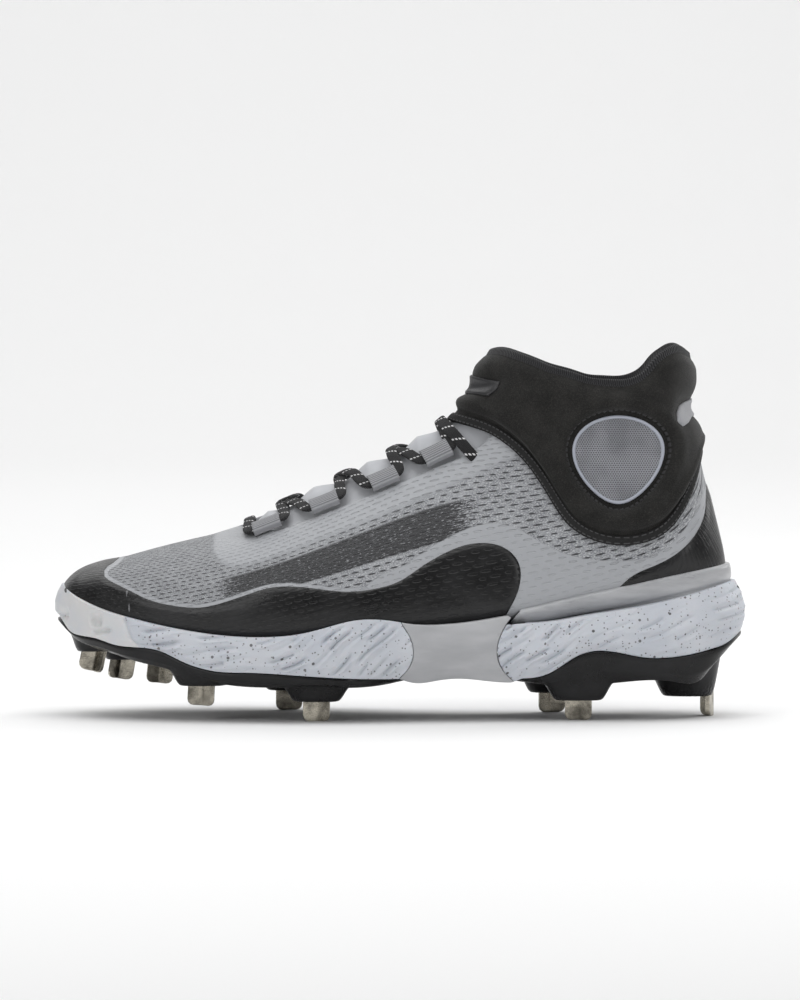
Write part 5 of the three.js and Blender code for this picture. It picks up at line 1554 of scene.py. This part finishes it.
# Plate: one moulding of black nylon under the whole foot, with a thin ledge round the foam and a swelling pod
# round the root of each blade.
plate_foot = side_line(
    [
        [-0.04, 0.25], [0.003, 0.237], [0.023, 0.206], [0.06, 0.183], [0.107, 0.16], [0.153, 0.142],
        [0.2, 0.118], [0.247, 0.1], [0.3, 0.094], [0.4, 0.094], [0.5, 0.1], [0.54, 0.112], [0.64, 0.112],
        [0.7, 0.1], [0.8, 0.1], [0.9, 0.104], [0.95, 0.112], [0.985, 0.181], [1.04, 0.22],
    ]
)
PLATE_ROWS = [[0, 8, 27, 8], [0.35, 3, 25, 3.5], [0.8, 1.2, 24, 1.6], [1, 1.4, 24, 1.6]]
STUD_EXPOSED = 8.8
STUDS = [
    # x, y, tip's height, turn, lean, pod's length, pod's width, pod ahead of its blade
    [0.058, -0.03, 19.5, 62, 12, 17, 15, 0],
    [0.097, 0.19, 14.5, 118, 10, 17, 15, 0],
    [0.15, 0.36, 11.5, 100, 6, 19, 15, 0],
    [0.216, -0.3, 6.5, 80, 3, 22, 17, 0],
    [0.338, 0.34, 0, 96, 0, 22, 17, 0],
    [0.381, -0.345, 0, 84, 0, 23, 18, 0],
    [0.722, 0.2, 0, 100, 0, 23, 18, 0],
    [0.757, -0.26, 0, 84, 0, 24, 18, 0],
    [0.942, 0, 0, 8, 0, 25, 21, 7.5],
]
PLATE_SHARES = np.linspace(0, math.pi, 601)
PLATE_ACROSS = np.linspace(-1, 1, 321)
PLATE_WALL = 0.3  # part of the grid's width that each side wall takes


def plate_table():
    turn, w = np.meshgrid(PLATE_SHARES, PLATE_ACROSS, indexing="ij")
    share = (1 - np.cos(turn)) / 2
    height = np.clip((np.abs(w) - (1 - PLATE_WALL)) / PLATE_WALL, 0, 1)
    inset = inset_along(share, height, PLATE_ROWS)
    outer, inner = outline_point(turn, -1, inset), outline_point(turn, 1, inset)
    over = smooth(0, 1, (np.clip(w / (1 - PLATE_WALL), -1, 1) + 1) / 2)
    over = mix(over, (np.clip(w / (1 - PLATE_WALL), -1, 1) + 1) / 2, 0.7)
    xy = mix(outer, inner, over[..., None])
    x0 = at_x(share)
    low, high = plate_foot(x0), plate_top(x0) - CLEARANCE
    z = low + (high - low) * height
    flute = 0.5 * (1 - height) * (1 - np.clip(np.abs(w) / (1 - PLATE_WALL), 0, 1) ** 2)
    z = z + flute
    grain = np.zeros_like(z)
    for x, y, tip, stud_turn, lean, long, wide, ahead in STUDS:
        dx = (xy[..., 0] - (at_x(x) - ahead)) / (long / 2)
        dy = (xy[..., 1] - (y * BALL_WIDTH + SHIFT_Y)) / (wide / 2)
        ring = (np.abs(dx) ** 2.6 + np.abs(dy) ** 2.6) ** (1 / 2.6)
        swell = 1 - smooth(0.8, 1.3, ring)
        pod = mix(z, tip + STUD_EXPOSED, swell)
        z = np.minimum(z, mix(z, pod, 1 - smooth(0.35, 0.9, height)))
        grain = np.maximum(grain, 1 - smooth(0.9, 1.1, ring))
    points = np.concatenate([xy, z[..., None]], axis=2)
    for _ in range(3):
        points[:, 1:-1] = (points[:, :-2] + 2 * points[:, 1:-1] + points[:, 2:]) / 4
    return points, grain


plate_points, pod_share = plate_table()
plate_surface = Surface(PLATE_SHARES, PLATE_ACROSS, plate_points, round=False)
nylon, nodes = new_material(
    "black nylon", Roughness=0.3, Specular_IOR_Level=0.25, Coat_Weight=0.08, Coat_Roughness=0.2
)
place = nodes.place()
pebble = nodes.add("ShaderNodeTexVoronoi", {"Vector": place, "Scale": 0.75})
smear = nodes.noise(place, 0.06, 4.0, 0.6)
fine = nodes.noise(place, 2.2, 2.0)
rear = nodes.math("MULTIPLY", nodes.step(nodes.attribute("run"), 108.0, 114.0), nodes.attribute("pod"))
depth = nodes.mix(rear, nodes.math("MULTIPLY", fine, 0.12), nodes.math("SUBTRACT", 1.0, pebble))
feed(
    nylon,
    Base_Color=nodes.mix(nodes.step(smear, 0.35, 0.7), (0.005, 0.005, 0.0054, 1), (0.012, 0.012, 0.013, 1)),
    Roughness=nodes.step(smear, 0.3, 0.7, 0.22, 0.4),
    Normal=nodes.bump(depth, 0.5),
)
sheet = bmesh.new()
bmesh.ops.create_grid(sheet, x_segments=420, y_segments=130, size=1)
for v in sheet.verts:
    v.co.x = (v.co.x + 1) / 2 * math.pi
lay(sheet, plate_surface, 0, marks={
    "run": lambda p, s, w: p[:, 0],
    "pod": lambda p, s, w: plate_surface.read(pod_share[..., None], s, w)[:, 0],
})
edges = [e for e in sheet.edges if e.is_boundary]
lid = bmesh.ops.extrude_edge_only(sheet, edges=edges)["geom"]
for v in lid:
    if isinstance(v, bmesh.types.BMVert):
        v.co += Vector((-0.035 * v.co.x, (SHIFT_Y * MM - v.co.y) * 0.3, -0.0004))
bmesh.ops.recalc_face_normals(sheet, faces=sheet.faces)
down = sum(f.normal.z * f.calc_area() for f in sheet.faces)
if down > 0:
    bmesh.ops.reverse_faces(sheet, faces=sheet.faces)
plate = add_object("nylon_plate", sheet, nylon)
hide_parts("plate")
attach(plate, "root")

# Blades: bent strips of nickel-plated steel set into the pods, with a narrow bevel all round.
BLADE_BEVEL = 0.42
steel, nodes = new_material("nickel steel", Metallic=1.0, Roughness=0.26)
place = nodes.place()
brushed = nodes.noise(nodes.stretch(place, (0.6, 0.6, 5.0)), 1.0, 3.0, 0.6)
# Large patches of each blade are darker, spread at random by a noise.
dark_patch = nodes.noise(place, 0.12, 4.0, 0.6)
colour = nodes.mix(nodes.step(dark_patch, 0.35, 0.7), (0.5, 0.465, 0.39, 1), (0.13, 0.12, 0.1, 1))
feed(
    steel,
    Base_Color=colour,
    Roughness=nodes.step(brushed, 0.3, 0.7, 0.14, 0.28),
    Normal=nodes.bump(brushed, 0.03),
)
for number in range(1, len(STUDS) + 1):
    node = f"spike_{number}"
    blade = bmesh.new()
    blade.from_mesh(bpy.data.objects[node].data)
    bmesh.ops.transform(blade, matrix=bpy.data.objects[node].matrix_world, verts=blade.verts)
    bmesh.ops.remove_doubles(blade, verts=blade.verts, dist=1e-6)
    bmesh.ops.dissolve_limit(blade, angle_limit=math.radians(3), verts=blade.verts, edges=blade.edges)
    sharp = [e for e in blade.edges if len(e.link_faces) == 2 and e.calc_face_angle() > math.radians(35)]
    bmesh.ops.bevel(
        blade,
        geom=sharp,
        offset=BLADE_BEVEL * MM,
        segments=3,
        profile=0.5,
        affect="EDGES",
        material=-1,
        clamp_overlap=True,
    )
    made = add_object(f"blade_{number}", blade, steel)
    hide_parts(node)
    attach(made, "root")

# Tongue: a soft padded sheet under the throat, which swells up between the crossings of the lace.
TONGUE = {"thickness": 3.4, "crown": 3.6, "sink": 0.4, "dip": 9.0, "lap": 4.0}
CROSSINGS = [0.284, 0.339, 0.42, 0.4935, 0.5645]


def tongue_rise(p, f, a):
    x = p[:, 0]
    across = (p[:, 1] - throat_middle(x)) / np.maximum(open_half(x), 1)
    in_throat = np.clip(1 - across * across, 0, 1) ** 2
    near = np.max([np.exp(-(((x - at_x(c)) / TONGUE["dip"]) ** 2)) for c in CROSSINGS], axis=0)
    crown = TONGUE["crown"] - (TONGUE["crown"] + TONGUE["sink"]) * near
    from_front = smooth(0, TONGUE["dip"], x - at_x(THROAT_FRONT))
    return (crown + UPPER_WALL) * in_throat * from_front - UPPER_WALL - CLEARANCE


def tongue_side(f, a):
    p = last.base(f, a)
    return np.abs(p[:, 1] - throat_middle(p[:, 0])) - throat_half(p[:, 0]) - TONGUE["lap"]


def tongue_front(f, a):
    return at_x(THROAT_FRONT - 0.03) - last.base(f, a)[:, 0]


soft_knit, nodes = new_material("soft tongue knit", Roughness=0.8, Sheen_Weight=0.3, Sheen_Roughness=0.4)
place = nodes.place()
fine = nodes.noise(place, 2.0, 3.0)
cloud = nodes.noise(place, 0.08, 2.0)
feed(
    soft_knit,
    Base_Color=nodes.mix(nodes.step(cloud, 0.3, 0.7), (0.43, 0.44, 0.465, 1), (0.5, 0.51, 0.535, 1)),
    Normal=nodes.bump(fine, 0.12),
)
sheet = trimmed_grid(
    even_spacing(last, 3.4, 13.6, 190, (0, 0.2)),
    np.linspace(-0.45, 0.45, 110),
    [tongue_side, tongue_front, under_line(seam_line, last, CLEARANCE)],
)
rim_inwards(sheet, [0.8, TONGUE["thickness"]])
lay(sheet, last, tongue_rise)
tongue = add_object("padded_tongue", sheet, soft_knit)
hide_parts("tongue")
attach(tongue, "root")

# Lace loops: sleeves of ribbed webbing, four a side, sewn down beside the throat.
LACE_WIDTH = 4.9
LACE_THICKNESS = 1.8
LOOP = {"length": 12.5, "width": 9.0, "webbing": 0.7, "seat": 0.5, "ribs": 8}
LOOPS = [[0.312, 0.513], [0.3945, 0.574], [0.479, 0.639], [0.555, 0.708]]
EYELET = [0.609, 0.706]
loop_places = [
    (float(f[0]), float(a[0])) for f, a in
    (find_on_last([at_x(x)], [at_z(z)], -1, (4, 14)) for x, z in LOOPS)
]
eyelet_place = tuple(float(v[0]) for v in find_on_last([at_x(EYELET[0])], [at_z(EYELET[1])], -1, (8, 16)))
LACE_SEAT = LOOP["seat"] + LOOP["webbing"] + CLEARANCE + LACE_THICKNESS / 2


def one(table, place, side):
    f, a = place
    return table(np.array([f]), np.array([-side * a]))[0]


def loop_axes(k, side):
    """A loop's middle, and the directions along the throat and out of the shoe there."""
    back = one(last.base, loop_places[max(k - 1, 0)], side)
    ahead = one(last.base, loop_places[min(k + 1, len(LOOPS) - 1)], side)
    out = one(last.normal, loop_places[k], side)
    along = ahead - back
    along -= out * along.dot(out)
    return one(last.base, loop_places[k], side), along / np.linalg.norm(along), out


for side, name in ((-1, "outer"), (1, "inner")):
    for k_loop in range(len(LOOPS)):
        centre, along, out = loop_axes(k_loop, side)
        wide = np.cross(out, along)
        half_wide = LOOP["width"] / 2
        half_high = (LACE_THICKNESS + 2 * (CLEARANCE + LOOP["webbing"])) / 2
        sheet = bmesh.new()
        bmesh.ops.create_grid(sheet, x_segments=72, y_segments=14, size=1)
        rib_layer = sheet.verts.layers.float.new("rib")
        run_layer = sheet.verts.layers.float.new("run")
        for v in sheet.verts:
            turn, share = (v.co.x + 1) * math.pi, v.co.y
            c, s = math.cos(turn), math.sin(turn)
            over = math.copysign(abs(c) ** 0.55, c) * half_wide
            up = math.copysign(abs(s) ** 0.7, s) * half_high
            v[rib_layer] = over / LOOP["width"] * LOOP["ribs"]
            v[run_layer] = share * LOOP["length"] / 2
            ridge = 0.16 * math.cos(2 * math.pi * v[rib_layer]) * (0.3 + 0.7 * abs(s))
            flare = 1 + 0.05 * share * share
            spot = centre + wide * over * flare + along * share * LOOP["length"] / 2
            spot = spot + out * (LOOP["seat"] + half_high + (up + math.copysign(ridge, up)) * flare)
            v.co = spot * MM
        bmesh.ops.remove_doubles(sheet, verts=sheet.verts, dist=2e-6)
        bmesh.ops.recalc_face_normals(sheet, faces=sheet.faces)
        top_face = max(sheet.faces, key=lambda f: f.calc_center_median().dot(Vector(out)))
        if top_face.normal.dot(Vector(out)) < 0:
            bmesh.ops.reverse_faces(sheet, faces=sheet.faces)
        bmesh.ops.solidify(sheet, geom=list(sheet.faces), thickness=LOOP["webbing"] * MM * 0.9)
        for f in sheet.faces:
            f.smooth = True
        loop = add_object(f"lace_loop_{name}_{k_loop + 1}", sheet, webbing)
        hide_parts(f"loop_{name}_{k_loop + 1}")
        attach(loop, "root")

# Laces: one flat braided cord, black with rows of white flecks. A bar joins the first loops, four crossings
# follow, and both ends sink in the top eyelets.
CROSS_LOW = 1.5
CROSS_HIGH = CROSS_LOW + LACE_THICKNESS * 0.85


def on_form(f, a, rise):
    f, a = np.array([f]), np.array([a])
    return last.place(f, a, rise)[0], last.normal(f, a)[0]


def in_loop(k, side, shift):
    centre, along, out = loop_axes(k, side)
    return centre + out * LACE_SEAT + along * shift * (LOOP["length"] / 2 + 0.5), out


def half_way(start, end, side, rise):
    """On the form, midway between two places as the side view shows them, so that a strap looks straight."""
    middle = (start[0] + end[0]) / 2
    f, a = find_on_last([middle[0]], [middle[2]], side, (3, 15))
    return on_form(float(f[0]), float(a[0]), rise)


def curve_through(points, count):
    """A centripetal curve through the points, ghosted beyond its two ends."""
    p = np.vstack([2 * points[0] - points[1], points, 2 * points[-1] - points[-2]])
    found = []
    for t in np.linspace(0, len(points) - 1, count):
        i = min(int(t), len(points) - 2)
        s = t - i
        p0, p1, p2, p3 = p[i:i + 4]
        d0, d1, d2 = (max(np.linalg.norm(b - a) ** 0.5, 1e-4) for a, b in ((p0, p1), (p1, p2), (p2, p3)))
        t1 = ((p1 - p0) / d0 - (p2 - p0) / (d0 + d1) + (p2 - p1) / d1) * d1
        t2 = ((p2 - p1) / d1 - (p3 - p1) / (d1 + d2) + (p3 - p2) / d2) * d1
        found.append(
            p1 + t1 * s + (-3 * p1 + 3 * p2 - 2 * t1 - t2) * s**2 + (2 * p1 - 2 * p2 + t1 + t2) * s**3
        )
    return np.array(found)


def crest_fan(x):
    fans = FINE_FANS[FINE_FANS >= 4]
    return float(np.interp(x, last.base(fans, np.zeros_like(fans))[:, 0], fans))


bar_fan = crest_fan(at_x(CROSSINGS[0]))
bar_crest = on_form(bar_fan, 0, CROSS_LOW)
bar = []
for side in (-1, 1):
    bar_end = in_loop(0, side, -1.1)
    bar.append([in_loop(0, side, 0.05), bar_end, half_way(bar_end, bar_crest, side, CROSS_LOW)])
straps = [[*bar[0], bar_crest, *bar[1][::-1]]]
for k_loop in range(len(LOOPS)):
    for side in (-1, 1):
        f = crest_fan(at_x(CROSSINGS[k_loop + 1]))
        rise = CROSS_HIGH if (side if k_loop % 2 else -side) > 0 else CROSS_LOW
        crest, leaves = on_form(f, 0, rise), in_loop(k_loop, side, 1)
        start = [in_loop(k_loop, side, -0.05), leaves, half_way(leaves, crest, side, rise), crest]
        if k_loop < len(LOOPS) - 1:
            enters = in_loop(k_loop + 1, -side, -1)
            end = [half_way(crest, enters, -side, rise), enters, in_loop(k_loop + 1, -side, 0.05)]
        else:
            e_f, e_a = eyelet_place[0], side * eyelet_place[1]
            end = [
                on_form(mix(f, e_f, 0.5), e_a / 2, rise),
                on_form(e_f - 0.04, e_a * 0.94, LACE_THICKNESS / 2 + 0.1),
                on_form(e_f, e_a * 1.01, -2.2),
            ]
        straps.append(start + end)

braid, nodes = new_material("braided lace", Roughness=0.85, Specular_IOR_Level=0.2, Sheen_Weight=0.1)
run, row = nodes.attribute("run"), nodes.attribute("row")
aslant = nodes.math("MULTIPLY", row, 5.0)
strands = [
    nodes.math("SINE", nodes.math("MULTIPLY", nodes.math(either, run, aslant), 5.2))
    for either in ("ADD", "SUBTRACT")
]
weave = nodes.math("MULTIPLY_ADD", nodes.math("MULTIPLY", *strands), 0.5, 0.5)
slant = nodes.math("ADD", nodes.math("MULTIPLY", run, 0.11), nodes.math("MULTIPLY", row, 0.2))
near_row = nodes.step(nodes.off(nodes.math("FRACT", slant), 0.5), 0.065, 0.045)
dots = nodes.step(nodes.off(nodes.math("FRACT", nodes.math("MULTIPLY", row, 1.9)), 0.5), 0.33, 0.25)
fleck = nodes.math("MULTIPLY", near_row, dots)
fibre = nodes.noise(nodes.place(), 2.6, 2.0)
colour = nodes.mix(weave, (0.006, 0.006, 0.0065, 1), (0.03, 0.03, 0.032, 1))
colour = nodes.mix(fleck, colour, (0.75, 0.75, 0.76, 1))
depth = nodes.math("ADD", nodes.math("MULTIPLY", weave, 0.7), nodes.math("MULTIPLY", fibre, 0.4))
feed(braid, Base_Color=colour, Normal=nodes.bump(depth, 0.3))
lace = bmesh.new()
run_layer = lace.verts.layers.float.new("run")
row_layer = lace.verts.layers.float.new("row")
LACE_ROUND = 24
for stops in straps:
    count = 90
    path = curve_through(np.array([p for p, out in stops]), count)
    lean = curve_through(np.array([out for p, out in stops]), count)
    way = np.gradient(path, axis=0)
    way /= np.linalg.norm(way, axis=1, keepdims=True)
    wide = np.cross(way, lean)
    wide /= np.linalg.norm(wide, axis=1, keepdims=True)
    high = np.cross(wide, way)
    length = run_along(path)
    strap = bmesh.ops.create_grid(lace, x_segments=count - 1, y_segments=LACE_ROUND, size=1)["verts"]
    for v in strap:
        i = round((v.co.x + 1) / 2 * (count - 1))
        turn = (v.co.y + 1) * math.pi
        c, s = math.cos(turn), math.sin(turn)
        over, up = math.copysign(abs(c) ** 0.6, c), math.copysign(abs(s) ** 0.7, s)
        v[run_layer], v[row_layer] = length[i], over * math.copysign(1, s)
        v.co = (path[i] + wide[i] * over * LACE_WIDTH / 2 + high[i] * up * LACE_THICKNESS / 2) * MM
bmesh.ops.remove_doubles(lace, verts=lace.verts, dist=2e-6)
bmesh.ops.recalc_face_normals(lace, faces=lace.faces)
for f in lace.faces:
    f.smooth = True
laces = add_object("braided_laces", lace, braid)
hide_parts("laces")
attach(laces, "root")

# Insole: a thin moulded foam bed with a brushed black top cloth, loose inside the shoe.
INSOLE_THICKNESS = 4.5
foot_x, foot_z = FANS[:14, 0], FANS[:14, 1]
footbed = spline(at_x(foot_x), at_z(foot_z))
bed_fans = np.linspace(1.2, 13.2, 90)
edges = {}
for side in (-1, 1):
    a = np.linspace(0.45, 0.999, 200) * side
    rows = []
    for f in bed_fans:
        p = last.place(np.full(200, f), a, -UPPER_WALL - CLEARANCE)
        under = p[:, 2] - (footbed(p[:, 0]) + INSOLE_THICKNESS)
        rows.append(p[np.argmax(under < 0)] if (under < 0).any() else p[-1])
    edges[side] = np.array(rows)
sheet = bmesh.new()
bmesh.ops.create_grid(sheet, x_segments=89, y_segments=24, size=1)
for v in sheet.verts:
    i, t = round((v.co.x + 1) / 2 * 89), (v.co.y + 1) / 2
    spot = mix(edges[-1][i], edges[1][i], t)
    spot[2] = footbed(spot[0]) + INSOLE_THICKNESS - 0.6 + 2.2 * (2 * t - 1) ** 4
    v.co = spot * MM
bmesh.ops.recalc_face_normals(sheet, faces=sheet.faces)
if sum(f.normal.z for f in sheet.faces) < 0:
    bmesh.ops.reverse_faces(sheet, faces=sheet.faces)
bmesh.ops.solidify(sheet, geom=list(sheet.faces), thickness=2.5 * MM)
for f in sheet.faces:
    f.smooth = True
insole = add_object("foam_insole", sheet, sock)
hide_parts("insole")
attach(insole, "root")
